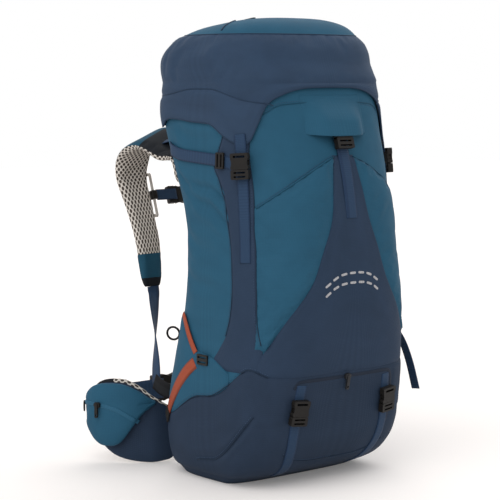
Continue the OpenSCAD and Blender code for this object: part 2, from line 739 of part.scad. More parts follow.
// Belt webbing round the front of the waist, to the buckle in the middle
belt_tip = wing_at(1);
belt_y = belt_tip.y + belt_lead;
belt_bend = [[-4, 12], [-18, 26], [-44, 37], [-72, 43]];
module belt_webbing(stop) {
    pts = concat([[belt_tip.x, belt_tip.y + fit_gap, belt_tip.z]],
        [for (p = belt_bend) [belt_tip.x + p.x, belt_tip.y + p.y, belt_tip.z]],
        [[belt_tip.x - 92, belt_y, belt_tip.z], [stop, belt_y, belt_tip.z]]);
    color(navy) band(pts, [for (i = [0 : len(pts) - 1]) cross(along(pts, i), [0, 0, 1])], belt_web_w);
}

module left_belt_webbing() {
    mirrored(true) belt_webbing(fit_gap);
}

module right_belt_webbing() {
    belt_webbing(socket_l(belt_web_w) - bar_l - slot_l);
}

function belt_frame() = frame([0, belt_y, belt_tip.z], [1, 0, 0], [0, 1, 0]);

module belt_socket() {
    color(black) multmatrix(belt_frame()) socket(belt_web_w);
}

module belt_plug() {
    color(black) multmatrix(belt_frame()) plug(belt_web_w);
}

// Side straps, cinch straps and what hangs on them, drawn on the left and mirrored
module side_straps() {
    color(navy) both_sides() skin_band(skin_run([146, side_strap_z + 6, on_panel],
        [197, side_strap_z - 4, on_panel], 10));
}

cinch_w = 13;
module cinch_straps() {
    color(orange) both_sides() {
        skin_band(skin_run([155, 276, on_panel], [cinch_t - 4, cinch_z + 12, on_panel], 7), cinch_w);
        skin_band(skin_run([cinch_t - 4, cinch_z - 12, on_panel], [143, 128, on_panel], 7), cinch_w);
    }
}

// Elastic loop with its sleeve on the left rear edge
loop_r = 11;
loop_cord = 3;
loop_t = 136;
loop_z = 240;
sleeve_r = 4;
sleeve_l = 16;
module pole_loop() {
    up = skin(loop_t, loop_z + 2) - skin(loop_t, loop_z - 2);
    color(black) multmatrix(frame(skin(loop_t, loop_z, panel_gap), up, skin_out(loop_t, loop_z))) {
        translate([0, 0, sleeve_r]) rotate([90, 0, 0])
            cylinder(sleeve_l, r = sleeve_r, center = true, $fn = 32);
        translate([0, 0, 2 * sleeve_r + loop_r - loop_cord / 2]) rotate([0, 90, 0])
            rotate_extrude($fn = 32) translate([loop_r, 0]) circle(d = loop_cord, $fn = 16);
    }
}

// Free end of the right cinch strap, standing off the bag
tail_t = 351;
tail_z = 232;
tail_route = [[6, -4, 8], [20, -10, 8], [32, -17, -14], [44, -25, -54], [54, -32, -104]];
tail_side = [0, -0.9, -0.3];
module strap_tail() {
    root = skin(tail_t, tail_z, on_panel + 2 * fit_gap);
    pts = concat([root], [for (p = tail_route) root + p]);
    color(navy) band(pts, [for (i = [0 : len(pts) - 1]) cross(tail_side, along(pts, i))]);
}

// Lid
lid_off = lid_gap + lid_t;
lid_mid = (skin(90, bag_h)[1] + skin(270, bag_h)[1]) / 2;
lid_reach = (skin(90, bag_h)[1] - skin(270, bag_h)[1]) / 2 + lid_off;
function lid_low(t) = bag_h - curve(edge_drop, from_front(t < 90 ? t + 360 : t));
function lid_ring(d, k) = [for (i = [0 : skin_cols - 1])
    let (t = 360 * i / skin_cols) skin(t, lerp(lid_low(t), bag_h + lid_seat, k), d)];
// Crown: height share and plan share, tilted down to the back
function crown_at(t, row) =
    let (p = skin(t, bag_h, lid_off), y = lid_mid + (p.y - lid_mid) * row[1] + row[2])
    [p.x * row[1], y, bag_h + lid_h * row[0] - lid_tilt * row[0] * (y - lid_mid) / lid_reach];
module lid() {
    color(navy) loft(concat(
        [lid_ring(lid_gap, 1), lid_ring(lid_gap, 0.5), lid_ring(lid_gap, 0)],
        [lid_ring(lid_off, 0), lid_ring(lid_off, 0.35), lid_ring(lid_off, 0.7), lid_ring(lid_off, 1)],
        [for (row = crown) [for (i = [0 : skin_cols - 1]) crown_at(360 * i / skin_cols, row)]]));
}

module lid_rear_straps() {
    x = 62;
    zs = [bag_h - lid_rear_drop + 46, bag_h - lid_rear_drop + 6, hinge_z - 3];
    color(navy) both_sides() band([for (z = zs) [x, skin(90, z)[1] + lid_off + fit_gap, z]],
        [for (z = zs) [0, 1, 0]]);
}

// Sewn webbing loops on the lid's rear shoulder
module lid_loops() {
    row = crown[3];
    color(black) both_sides() {
        pts = [for (t = [56, 60, 64, 68, 72]) crown_at(t, row)];
        lift = [0.4, 3, 3.8, 3, 0.4];
        out = unit([0.1, 0.6, 0.8]);
        band([for (i = [0 : 4]) pts[i] + out * lift[i]], [for (i = [0 : 4]) out], 11);
    }
}

zip_half = 56;
zip_back = 14;
top_row = crown[len(crown) - 1];
function crown_top(y) = bag_h + lid_h - lid_tilt * (y - lid_mid) / lid_reach;
crown_out = unit([0, lid_tilt / lid_reach, 1]);
zip_y = lid_mid + top_row[2] + zip_back;
module lid_zip() {
    pts = [for (x = [-zip_half, zip_half]) [x, zip_y, crown_top(zip_y)] + crown_out * fit_gap];
    color(black) band(pts, [crown_out, crown_out], base_zip_w);
}

module lid_zip_slider() {
    p = [-zip_half * 0.5, zip_y, crown_top(zip_y)] + crown_out * (fit_gap + web_t);
    color(metal) multmatrix(frame(p, cross(crown_out, [1, 0, 0]), crown_out)) zip_slider();
}

// Lid straps, drawn on the left and mirrored
lid_strap_low = bag_h - 292;
lid_run = [[lid_mouth_z - 92, on_panel + 0.8], [lid_mouth_z, on_panel + 3.2]];
lid_strap_dir = skin(lid_strap_t, lid_run[1][0], lid_run[1][1])
    - skin(lid_strap_t, lid_run[0][0], lid_run[0][1]);
function lid_strap_frame() = frame(skin(lid_strap_t, lid_mouth_z, lid_run[1][1]), lid_strap_dir,
    skin_out(lid_strap_t, lid_mouth_z));
module lid_strap_bottoms() {
    color(navy) both_sides() skin_band([[lid_strap_t, lid_strap_low, on_panel],
        [lid_strap_t, lid_strap_low + 30, on_panel], [lid_strap_t, lid_run[0][0], lid_run[0][1]],
        [lid_strap_t, lid_mouth_z - fit_gap, lid_run[1][1]]]);
}

module lid_strap_tops() {
    tail = socket_l(web_w) - bar_l - slot_l;
    color(navy) both_sides() skin_band([[lid_strap_t, lid_mouth_z + tail, lid_run[1][1] + 0.4],
        [lid_strap_t, lid_mouth_z + tail + 14, lid_run[1][1] + 0.6],
        [lid_strap_t, lid_mouth_z + tail + 30, lid_off + fit_gap],
        [lid_strap_t, lid_mouth_z + tail + 54, lid_off + fit_gap]]);
}

module lid_sockets() {
    color(black) both_sides() multmatrix(lid_strap_frame()) socket(web_w);
}

module left_lid_plug() {
    color(black) multmatrix(lid_strap_frame()) plug(web_w);
}

module right_lid_plug() {
    mirrored(true) left_lid_plug();
}

// Front strap and base straps
front_low = bag_h - 222;
front_run = [front_mouth_z - 60, front_mouth_z];
front_lift = on_panel + 0.8;
function front_frame() = frame(skin(270, front_mouth_z, front_lift),
    skin(270, front_run[1], front_lift) - skin(270, front_run[0], front_lift), skin_out(270, front_mouth_z));
function pad_frame() = frame(skin(pad_strap_t, pad_mouth_z, front_lift),
    skin(pad_strap_t, pad_mouth_z + 20, front_lift) - skin(pad_strap_t, pad_mouth_z - 12, front_lift),
    skin_out(pad_strap_t, pad_mouth_z));
module front_strap() {
    tail = front_mouth_z + socket_l(front_web_w) - bar_l - slot_l;
    pad_tail = pad_mouth_z + socket_l(web_w) - bar_l - slot_l;
    color(navy) {
        skin_band([[270, front_low, on_panel], [270, front_low + 24, on_panel],
            [270, front_run[0], front_lift], [270, front_run[1] - fit_gap, front_lift]], front_web_w);
        skin_band([[270, tail, front_lift], [270, tail + 20, panel_gap], [270, tail + 34, panel_gap]],
            front_web_w);
        both_sides() {
            skin_band([for (d = [92, 84, 70, 52, 34, 16, fit_gap])
                [pad_strap_t, pad_mouth_z - d, front_lift]]);
            skin_band([[pad_strap_t, pad_tail, front_lift], [pad_strap_t, pad_tail + 12, on_panel],
                [pad_strap_t, pad_tail + 30, on_panel]]);
        }
    }
}

module front_sockets() {
    color(black) {
        multmatrix(front_frame()) socket(front_web_w);
        both_sides() multmatrix(pad_frame()) socket(web_w);
    }
}

module front_plug() {
    color(black) multmatrix(front_frame()) plug(front_web_w);
}

module left_pad_plug() {
    color(black) multmatrix(pad_frame()) plug(web_w);
}

module right_pad_plug() {
    mirrored(true) left_pad_plug();
}

main_bag();
extension_collar();
collar_cord_lock();
cord_lock_button();
front_pocket();
front_hood();
base_boot();
base_zip();
base_zip_slider();
left_corner_panel();
right_corner_panel();
left_side_pocket();
right_side_pocket();
left_frame_stay();
right_frame_stay();
frame_top_bow();
frame_cross_bars();
back_mesh();
lumbar_pad();
shoulder_yoke();
haul_loop();
left_shoulder_strap();
right_shoulder_strap();
load_lifters();
strap_webbing();
anchor_tabs();
ladder_locks();
sternum_rails();
sternum_strap();
sternum_socket();
sternum_plug();
left_belt_wing();
right_belt_wing();
left_belt_pocket();
right_belt_pocket();
left_belt_zip_slider();
right_belt_zip_slider();
left_belt_webbing();
right_belt_webbing();
belt_socket();
belt_plug();
side_straps();
cinch_straps();
pole_loop();
strap_tail();
lid();
lid_rear_straps();
lid_loops();
lid_zip();
lid_zip_slider();
lid_strap_tops();
lid_sockets();
left_lid_plug();
right_lid_plug();
lid_strap_bottoms();
front_strap();
front_sockets();
front_plug();
left_pad_plug();
right_pad_plug();
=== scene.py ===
import functools
import math
import bpy
from mathutils import Matrix, Vector, noise
from mathutils.bvhtree import BVHTree


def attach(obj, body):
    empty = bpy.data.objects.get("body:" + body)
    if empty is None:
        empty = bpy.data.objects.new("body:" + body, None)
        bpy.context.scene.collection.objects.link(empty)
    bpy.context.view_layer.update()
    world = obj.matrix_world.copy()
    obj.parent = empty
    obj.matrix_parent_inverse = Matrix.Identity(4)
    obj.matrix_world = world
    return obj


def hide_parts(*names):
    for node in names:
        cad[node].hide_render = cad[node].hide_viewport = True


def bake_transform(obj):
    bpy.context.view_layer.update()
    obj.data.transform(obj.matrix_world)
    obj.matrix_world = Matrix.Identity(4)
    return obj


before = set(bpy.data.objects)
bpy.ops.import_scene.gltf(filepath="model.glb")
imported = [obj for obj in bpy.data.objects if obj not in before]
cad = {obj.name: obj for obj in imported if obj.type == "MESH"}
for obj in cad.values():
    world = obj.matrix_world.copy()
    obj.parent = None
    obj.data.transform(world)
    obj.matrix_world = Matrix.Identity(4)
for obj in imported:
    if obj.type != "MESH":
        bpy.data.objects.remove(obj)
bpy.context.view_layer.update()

mm = 0.001
scene = bpy.context.scene
scene.view_settings.view_transform = "Standard"
print("frame loaded:", len(cad), "nodes")

# Camera at the photograph's angle, aimed so that the pack sits where it does in the picture
view = {"azimuth": -42, "elevation": 5.5, "distance": 3.0, "target": (0, 0, 0.39), "lens": 125.3,
        "sensor": 36, "aimRight": -0.0603, "aimUp": -0.0052}


def addCamera():
    azimuth, elevation = math.radians(view["azimuth"]), math.radians(view["elevation"])
    level = math.cos(elevation)
    back = Vector((math.sin(azimuth) * level, -math.cos(azimuth) * level, math.sin(elevation)))
    right = Vector((math.cos(azimuth), math.sin(azimuth), 0))
    up = back.cross(right)
    target = Vector(view["target"])
    aim = target + right * view["aimRight"] + up * view["aimUp"]
    bpy.ops.object.camera_add(location=target + back * view["distance"])
    camera = bpy.context.object
    camera.data.lens = view["lens"]
    camera.data.sensor_width = view["sensor"]
    camera.rotation_euler = (aim - camera.location).to_track_quat("-Z", "Y").to_euler()
    scene.camera = camera


addCamera()


def toLinear(colour):
    parts = [int(colour[i:i + 2], 16) / 255 for i in (1, 3, 5)]
    return tuple(c / 12.92 if c <= 0.04045 else ((c + 0.055) / 1.055) ** 2.4 for c in parts) + (1.0,)


# A link comes from a socket, or from a node's first live output
def plugIn(tree, node, links):
    for key, source in links.items():
        if isinstance(source, bpy.types.Node):
            source = next(socket for socket in source.outputs if socket.enabled)
        tree.links.new(source, node.inputs[key])


def addNode(tree, kind, settings, links=None):
    node = tree.nodes.new("ShaderNode" + kind)
    for key, value in settings.items():
        if isinstance(key, int) or key in node.inputs:
            node.inputs[key].default_value = value
        else:
            setattr(node, key, value)
    plugIn(tree, node, links or {})
    return node


def newMaterial(name, settings):
    material = bpy.data.materials.new(name)
    material.use_nodes = True
    shader = material.node_tree.nodes["Principled BSDF"]
    for key, value in settings.items():
        shader.inputs[key].default_value = value
    return material, material.node_tree, shader


def waveScale(period):
    return math.pi / 10 / period  # a wave texture at scale 1 repeats every pi / 10


# Plain floor and soft studio light: a pale sky all round, a large lamp from the left and a weaker one behind
studio = {"floor": "#f4efec", "floorHalf": 9.0, "floorDrop": 0.0006, "floorGlow": 0.12, "sky": 0.64,
          "lamps": [{"strength": 1.25, "tilt": 48, "turn": -70, "spread": 62},
                    {"strength": 1.0, "tilt": 38, "turn": 112, "spread": 60}]}


def seenByEye(tree):
    path = addNode(tree, "LightPath", {}).outputs
    seen = addNode(tree, "Math", {"operation": "ADD"}, {0: path["Is Camera Ray"], 1: path["Is Glossy Ray"]})
    return addNode(tree, "Math", {"operation": "ADD", "use_clamp": True},
                   {0: seen, 1: path["Is Transmission Ray"]})


def addStudio():
    bpy.ops.mesh.primitive_grid_add(x_subdivisions=8, y_subdivisions=8, size=2 * studio["floorHalf"],
                                    location=(0, 0, -studio["floorDrop"]))
    floor = bpy.context.object
    floor.name = "studio_floor"
    paper, tree, shader = newMaterial("matt paper sweep", {
        "Base Color": toLinear(studio["floor"]), "Roughness": 0.9, "Specular IOR Level": 0.0,
        "Emission Color": (1, 1, 1, 1)})
    glow = addNode(tree, "MapRange", {"To Max": studio["floorGlow"]}, {"Value": seenByEye(tree)})
    plugIn(tree, shader, {"Emission Strength": glow})  # the sweep reads as white paper
    floor.data.materials.append(paper)
    world = bpy.data.worlds.new("soft studio")
    world.use_nodes = True
    scene.world = world
    tree = world.node_tree
    sky = tree.nodes["Background"]
    sky.inputs["Color"].default_value = (1, 1, 1, 1)
    level = addNode(tree, "MapRange", {"To Min": studio["sky"], "To Max": 1.0}, {"Value": seenByEye(tree)})
    plugIn(tree, sky, {"Strength": level})
    for lamp in studio["lamps"]:
        turn = (math.radians(lamp["tilt"]), 0, math.radians(lamp["turn"]))
        bpy.ops.object.light_add(type="SUN", rotation=turn)
        light = bpy.context.object.data
        light.energy = lamp["strength"]
        light.angle = math.radians(lamp["spread"])


addStudio()
print("camera, floor and light set")


# Materials. Cloth threads are far finer than a pixel, so every weave is drawn about 5 times too coarse.
def twoTones(tree, colour, other, share):
    return addNode(tree, "Mix", {"data_type": "RGBA", 6: toLinear(colour), 7: toLinear(other)}, {0: share})


# Two tones of dye, dimmed between the threads
def dyedThread(tree, colour, other, share, thread):
    tone = twoTones(tree, colour, other, share)
    dim = addNode(tree, "MapRange", {"To Min": 0.9, "To Max": 1.04}, {"Value": thread})
    return addNode(tree, "Mix", {"data_type": "RGBA", "blend_type": "MULTIPLY", 0: 1.0}, {6: tone, 7: dim})


def wovenNylon(name, colour, shade, threadMm, roughness):
    # Nylon plain weave, coated: matt, a faint cross-hatch, dye in patches 70 mm wide, sheen at the edges
    material, tree, shader = newMaterial(name, {
        "Roughness": roughness, "Specular IOR Level": 0.08, "Sheen Weight": 0.03, "Sheen Roughness": 0.4,
        "Sheen Tint": toLinear(colour)})
    uv = addNode(tree, "TexCoord", {}).outputs["UV"]
    warp, weft = (addNode(tree, "TexWave", {
        "bands_direction": way, "Scale": waveScale(threadMm), "Distortion": 0.6, "Detail": 1.0},
        {"Vector": uv}).outputs["Fac"] for way in "XY")
    weave = addNode(tree, "Math", {"operation": "MULTIPLY"}, {0: warp, 1: weft})
    dye = addNode(tree, "TexNoise", {"Scale": 1 / 70, "Detail": 4.0, "Roughness": 0.6}, {"Vector": uv})
    even = addNode(tree, "MapRange", {"From Min": 0.3, "From Max": 0.7}, {"Value": dye})
    bump = addNode(tree, "Bump", {"Strength": 0.3, "Distance": 0.0004}, {"Height": weave})
    plugIn(tree, shader, {"Base Color": dyedThread(tree, colour, shade, even, weave), "Normal": bump})
    return material


def ribbedWebbing(name, colour, edge, widthMm):
    # Polyester webbing: ribs across the strap, a smooth selvedge down each edge, a dull shine
    material, tree, shader = newMaterial(name, {"Roughness": 0.58, "Specular IOR Level": 0.12})
    uv = addNode(tree, "TexCoord", {}).outputs["UV"]
    ribs = addNode(tree, "TexWave", {"bands_direction": "Y", "Scale": waveScale(2.6), "Distortion": 0.5,
                                     "Detail": 1.0}, {"Vector": uv}).outputs["Fac"]
    fromEdge = addNode(tree, "SeparateXYZ", {}, {"Vector": uv})
    fromMiddle = addNode(tree, "Math", {"operation": "SUBTRACT", 1: widthMm / 2}, {0: fromEdge})
    away = addNode(tree, "Math", {"operation": "ABSOLUTE"}, {0: fromMiddle})
    selvedge = addNode(tree, "MapRange", {"From Min": widthMm / 2 - 2.6, "From Max": widthMm / 2 - 1.8},
                       {"Value": away})
    bump = addNode(tree, "Bump", {"Strength": 0.3, "Distance": 0.0005}, {"Height": ribs})
    plugIn(tree, shader, {"Base Color": dyedThread(tree, colour, edge, selvedge, ribs), "Normal": bump})
    return material


def spacerMesh(name, colour, hole, pitchMm, radius):
    # Knitted spacer mesh: pale yarn round staggered oval holes that show the dark foam below
    material, tree, shader = newMaterial(name, {"Roughness": 0.85, "Specular IOR Level": 0.1})
    uv = addNode(tree, "TexCoord", {}).outputs["UV"]
    lattice = addNode(tree, "Mapping", {"Rotation": (0, 0, math.pi / 4), "Scale": (1.0, 0.68, 1.0)},
                      {"Vector": uv})
    cells = addNode(tree, "TexVoronoi", {"voronoi_dimensions": "2D", "Scale": math.sqrt(2) / pitchMm,
                                         "Randomness": 0.0}, {"Vector": lattice})
    pit = addNode(tree, "MapRange", {"From Min": radius - 0.07, "From Max": radius + 0.05, "To Min": 1.0,
                                     "To Max": 0.0}, {"Value": cells})
    yarn = addNode(tree, "TexNoise", {"Scale": 0.9, "Detail": 3.0}, {"Vector": uv})
    dim = addNode(tree, "MapRange", {"To Min": 0.82, "To Max": 1.1}, {"Value": yarn})
    pale = addNode(tree, "Mix", {"data_type": "RGBA", "blend_type": "MULTIPLY", 0: 1.0, 6: toLinear(colour)},
                   {7: dim})
    knit = addNode(tree, "Mix", {"data_type": "RGBA", 7: toLinear(hole)}, {0: pit, 6: pale})
    bump = addNode(tree, "Bump", {"Strength": 0.6, "Distance": 0.001, "invert": True}, {"Height": pit})
    plugIn(tree, shader, {"Base Color": knit, "Normal": bump})
    return material


def mouldedAcetal(name, colour, worn):
    # Moulded acetal, and zinc painted to match it: a fine spark-eroded grain that breaks up a satin shine
    material, tree, shader = newMaterial(name, {"Specular IOR Level": 0.2, "IOR": 1.48})
    spot = addNode(tree, "TexCoord", {}).outputs["Object"]
    grain = addNode(tree, "TexNoise", {"Scale": 1000 / 0.9, "Detail": 2.0}, {"Vector": spot})
    smear = addNode(tree, "TexNoise", {"Scale": 1000 / 14, "Detail": 3.0}, {"Vector": spot})
    rough = addNode(tree, "MapRange", {"To Min": 0.34, "To Max": 0.56}, {"Value": smear})
    bump = addNode(tree, "Bump", {"Strength": 0.18, "Distance": 0.0002}, {"Height": grain})
    tone = twoTones(tree, colour, worn, smear)
    plugIn(tree, shader, {"Base Color": tone, "Roughness": rough, "Normal": bump})
    return material


def drawnAlloy(name, colour, rough):
    # Drawn aluminium tube: long fine scratches in a satin metal
    material, tree, shader = newMaterial(name, {"Base Color": toLinear(colour), "Metallic": 1.0})
    spot = addNode(tree, "TexCoord", {}).outputs["Object"]
    stretch = addNode(tree, "Mapping", {"Scale": (900, 900, 60)}, {"Vector": spot})
    scratch = addNode(tree, "TexNoise", {"Scale": 1.0, "Detail": 3.0}, {"Vector": stretch})
    shine = addNode(tree, "MapRange", {"To Min": rough - 0.1, "To Max": rough + 0.12}, {"Value": scratch})
    plugIn(tree, shader, {"Roughness": shine})
    return material


def coilZip(name, colour, gleam):
    # Nylon coil zip under a coating: matt, with fine ridges along the tape, 2.2 mm apart
    material, tree, shader = newMaterial(name, {"Roughness": 0.6, "Specular IOR Level": 0.12})
    uv = addNode(tree, "TexCoord", {}).outputs["UV"]
    ridges = addNode(tree, "TexWave", {"bands_direction": "X", "Scale": waveScale(2.2)},
                     {"Vector": uv}).outputs["Fac"]
    bump = addNode(tree, "Bump", {"Strength": 0.4, "Distance": 0.0005}, {"Height": ridges})
    # the ridge crests take the lighter second tone: a painted highlight
    plugIn(tree, shader, {"Base Color": twoTones(tree, colour, gleam, ridges), "Normal": bump})
    return material


def beadPrint(name, colour, spark):
    # Reflective ink with glass beads: pale grey with a fine sparkle
    material, tree, shader = newMaterial(name, {"Specular IOR Level": 0.6})
    spot = addNode(tree, "TexCoord", {}).outputs["Object"]
    beads = addNode(tree, "TexVoronoi", {"Scale": 1000 / 1.6}, {"Vector": spot})
    rough = addNode(tree, "MapRange", {"To Min": 0.25, "To Max": 0.55}, {"Value": beads})
    # the sparkle is painted: bead centres are mixed towards the paler second tone
    plugIn(tree, shader, {"Base Color": twoTones(tree, spark, colour, beads), "Roughness": rough})
    return material


tealNylon = wovenNylon("teal nylon plain weave", "#2a5871", "#27526a", 2.4, 0.62)
navyNylon = wovenNylon("navy nylon plain weave", "#2e3e54", "#2a394d", 2.4, 0.64)
lidNylon = wovenNylon("navy lid nylon plain weave", "#33465e", "#2f4056", 2.4, 0.6)
baseNylon = wovenNylon("navy nylon packcloth", "#2c3a4e", "#283547", 3.2, 0.66)
liningNylon = wovenNylon("grey coated lining", "#4a5560", "#434e58", 2.4, 0.5)
# Dark teal: a sleeve at the shoulder strap's lower end, and painted shade on its outer face near the bag
tealSleeveAndShade = wovenNylon("dark teal nylon plain weave", "#234e63", "#1f475b", 2.4, 0.62)
blackBinding = wovenNylon("black grosgrain binding", "#1c1f24", "#181b20", 1.8, 0.6)
# Piping a shade darker than the cloth beside it: painted shade along the seams
navyPipingShade = wovenNylon("navy seam piping", "#263446", "#222f40", 1.8, 0.6)
lidPipingShade = wovenNylon("navy lid piping", "#2c3d53", "#28384c", 1.8, 0.6)
tealPipingShade = wovenNylon("teal seam piping", "#234b62", "#1f4559", 1.8, 0.6)
navyThread = wovenNylon("navy sewing thread", "#3d5069", "#384a62", 1.2, 0.5)
mutedMesh = spacerMesh("pale spacer mesh", "#d2ccc4", "#3e3733", 8.6, 0.39)
navyWebbing = ribbedWebbing("navy polyester webbing", "#293e58", "#233650", 20)
wideWebbing = ribbedWebbing("wide navy polyester webbing", "#293e58", "#233650", 38)
blackWebbing = ribbedWebbing("black polyester webbing", "#1d1f22", "#17181b", 20)
orangeWebbing = ribbedWebbing("rust orange polyester webbing", "#9a4a34", "#82402f", 18)
braid = ribbedWebbing("black braided elastic", "#17181a", "#121315", 9)
blackAcetal = mouldedAcetal("black acetal", "#151413", "#1e1b19")
railAcetal = mouldedAcetal("pale grey acetal", "#c9c4bd", "#bfbab3")
zincPaint = mouldedAcetal("black painted zinc", "#222326", "#2d2e31")
tealZip = coilZip("teal coated coil zip", "#27526a", "#2f5f79")
navyZip = coilZip("navy coated coil zip", "#1b2432", "#222c3c")
zipCoil = coilZip("black coil zip", "#14181e", "#20262e")
frameAlloy = drawnAlloy("drawn aluminium tube", "#8e9499", 0.38)
bead = beadPrint("glass bead reflective ink", "#8c8c90", "#b9b9bc")
print("materials made")


# The bag's skin, as in the part's source: angles go anticlockwise from +X, 180 is the left, 270 the front
skin = {
    "width": 346, "front": 172, "back": 152, "height": 672, "arch": 58,
    "widthShape": [(0, 0.84), (0.04, 0.95), (0.12, 1.03), (0.22, 1.04), (0.37, 1.03), (0.52, 1.01),
                   (0.67, 0.99), (0.79, 0.97), (0.9, 0.96), (1, 0.955)],
    "frontShape": [(0, 0.20), (0.04, 0.54), (0.08, 0.69), (0.13, 0.775), (0.2, 0.825), (0.28, 0.885),
                   (0.37, 0.95), (0.45, 0.98), (0.52, 0.985), (0.67, 0.945), (0.79, 0.855), (0.9, 0.73),
                   (1, 0.62)],
    "backShape": [(0, 0.98), (0.04, 1.05), (0.12, 1.03), (0.22, 1.02), (0.52, 1.01), (0.79, 1.01),
                  (0.9, 1.09), (1, 1.19)],
    "archShape": [(0, 0), (0.04, 0), (0.12, 0), (0.22, 0.2), (0.37, 0.72), (0.52, 1), (0.67, 0.92),
                  (0.79, 0.45), (0.9, 0.03), (1, 0)],
    "frontSquare": [(0, 3.6), (0.1, 4.2), (0.25, 3.9), (0.55, 2.7), (1, 2.6)],
    "backSquare": [(0, 4), (0.62, 4), (0.8, 6), (0.9, 5.6), (1, 4)],
}


def slopeAt(table, i):
    low, high = table[max(i - 1, 0)], table[min(i + 1, len(table) - 1)]
    return (high[1] - low[1]) / (high[0] - low[0])


# Smooth curve through a table of keys and values, which may be numbers or points
def curveAt(table, key):
    i = 0
    while i < len(table) - 2 and key >= table[i + 1][0]:
        i += 1
    (keyA, a), (keyB, b) = table[i], table[i + 1]
    step = keyB - keyA
    u = min(max((key - keyA) / step, 0), 1)
    v = 1 - u
    bend = (slopeAt(table, i) * v - slopeAt(table, i + 1) * u) * (step * u * v)
    return a * (v * v * (1 + 2 * u)) + b * (u * u * (1 + 2 * v)) + bend


def mix(a, b, k):
    return a + (b - a) * k


def smooth(low, high, value):
    k = min(max((value - low) / (high - low), 0), 1)
    return k * k * (3 - 2 * k)


def signedPower(value, power):
    return math.copysign(abs(value) ** power, value)


# A point of a flattened round section, squarer with a higher power
def roundSection(turn, half, deep, power):
    return half * signedPower(math.cos(turn), 2 / power), deep * signedPower(math.sin(turn), 2 / power)


@functools.lru_cache(maxsize=None)
def skinRing(height):
    share = height / skin["height"]
    width, front, back, arch, frontSquare, backSquare = (curveAt(skin[key], share) for key in (
        "widthShape", "frontShape", "backShape", "archShape", "frontSquare", "backSquare"))
    return (skin["width"] / 2 * width, skin["front"] * front, skin["back"] * back - skin["arch"] * arch,
            frontSquare, backSquare)


def skinPoint(angle, height, off=0.0):
    half, front, back, frontSquare, backSquare = skinRing(round(height, 3))
    turn = math.radians(angle)
    ahead = math.sin(turn) < 0
    reach = (front if ahead else back) + off
    return Vector((*roundSection(turn, half + off, reach, frontSquare if ahead else backSquare), height))


skinStep = {"turn": 1, "rise": 2}


def skinUp(angle, height):
    rise = skinStep["rise"]
    return skinPoint(angle, height + rise) - skinPoint(angle, height - rise)


def skinOut(angle, height):
    turn = skinStep["turn"]
    along = skinPoint(angle + turn, height) - skinPoint(angle - turn, height)
    return along.cross(skinUp(angle, height)).normalized()


# The same place on the left half, and how far an angle is from the front's middle
def leftAngle(angle):
    turn = angle % 360
    return turn if 90 <= turn <= 270 else (540 - turn) % 360


def fromFront(angle):
    away = abs(angle - 270)
    return min(away, 360 - away)


# Points closer than this are one, in sewn cloth and in solids, and a face this upright lies flat
weldGap = 0.00002
solidGap = 0.00001
flatFace = 0.9


def pickOnly(*pieces):
    bpy.ops.object.select_all(action="DESELECT")
    for piece in pieces:
        piece.select_set(True)
    if pieces:
        bpy.context.view_layer.objects.active = pieces[0]


# How pieces are made: a grid primitive whose points go to their places, with its UV map in millimetres
def sewnGrid(name, columns, rows, place, size, closed=False):
    pickOnly()
    bpy.ops.mesh.primitive_grid_add(x_subdivisions=columns, y_subdivisions=rows, size=1)
    piece = bpy.context.object
    piece.name = piece.data.name = name
    shares = [(v.co.x + 0.5, v.co.y + 0.5) for v in piece.data.vertices]
    uvMap = piece.data.uv_layers[0].data
    for loop in piece.data.loops:
        u, v = shares[loop.vertex_index]
        uvMap[loop.index].uv = (u * size[0], v * size[1])
    for vertex, (u, v) in zip(piece.data.vertices, shares):
        vertex.co = place(u, v) * mm
    if closed:
        bpy.ops.object.mode_set(mode="EDIT")
        bpy.ops.mesh.select_all(action="SELECT")
        bpy.ops.mesh.remove_doubles(threshold=weldGap)
        bpy.ops.object.mode_set(mode="OBJECT")
    bpy.ops.object.shade_smooth()
    return piece


# Turns at even steps along a flattened round section, from its underside, and the length round it
def evenTurns(half, deep, power, count, perDegree=8):
    fine = [math.radians(i / perDegree - 90) for i in range(360 * perDegree + 1)]
    line = [Vector(roundSection(q, half, deep, power)) for q in fine]
    run = [0.0]
    for a, b in zip(line, line[1:]):
        run.append(run[-1] + (b - a).length)
    turns, i = [], 0
    for k in range(count + 1):
        while i < len(fine) - 1 and run[i] < run[-1] * k / count:
            i += 1
        turns.append(fine[i])
    return turns, run[-1]


# The middle of a face on its UV map, as shares of the map's size
def faceShare(piece, face, size):
    uvMap = piece.data.uv_layers[0].data
    return [sum(uvMap[i].uv[axis] for i in face.loop_indices) / face.loop_total / size[axis]
            for axis in (0, 1)]


def applyModifier(piece, kind, **settings):
    bpy.context.view_layer.objects.active = piece
    modifier = piece.modifiers.new(kind.lower(), kind)
    for key, value in settings.items():
        setattr(modifier, key, value)
    bpy.ops.object.modifier_apply(modifier=modifier.name)


def mirrorMesh(piece):
    piece.data.transform(Matrix.Scale(-1, 4, (1, 0, 0)))
    piece.data.flip_normals()


def copyOf(piece, name):
    twin = piece.copy()
    twin.data = piece.data.copy()
    twin.name = twin.data.name = name
    scene.collection.objects.link(twin)
    return twin


def mirrorCopy(piece, name):
    twin = copyOf(piece, name)
    mirrorMesh(twin)
    return twin


def joinAll(pieces, name):
    pickOnly(*pieces)
    if len(pieces) > 1:
        bpy.ops.object.join()
    pieces[0].name = pieces[0].data.name = name
    return pieces[0]


def capEnds(piece):
    pickOnly(piece)
    bpy.ops.object.mode_set(mode="EDIT")
    bpy.ops.mesh.select_all(action="DESELECT")
    bpy.ops.mesh.select_non_manifold()
    bpy.ops.mesh.fill_holes(sides=0)
    bpy.ops.object.mode_set(mode="OBJECT")


# Cloth simulation: a piece swells between its sewn points, and no point goes further than the cap
cloth = {"quality": 5, "mass": 0.3, "stretch": 15, "bending": 0.4, "frames": 20}


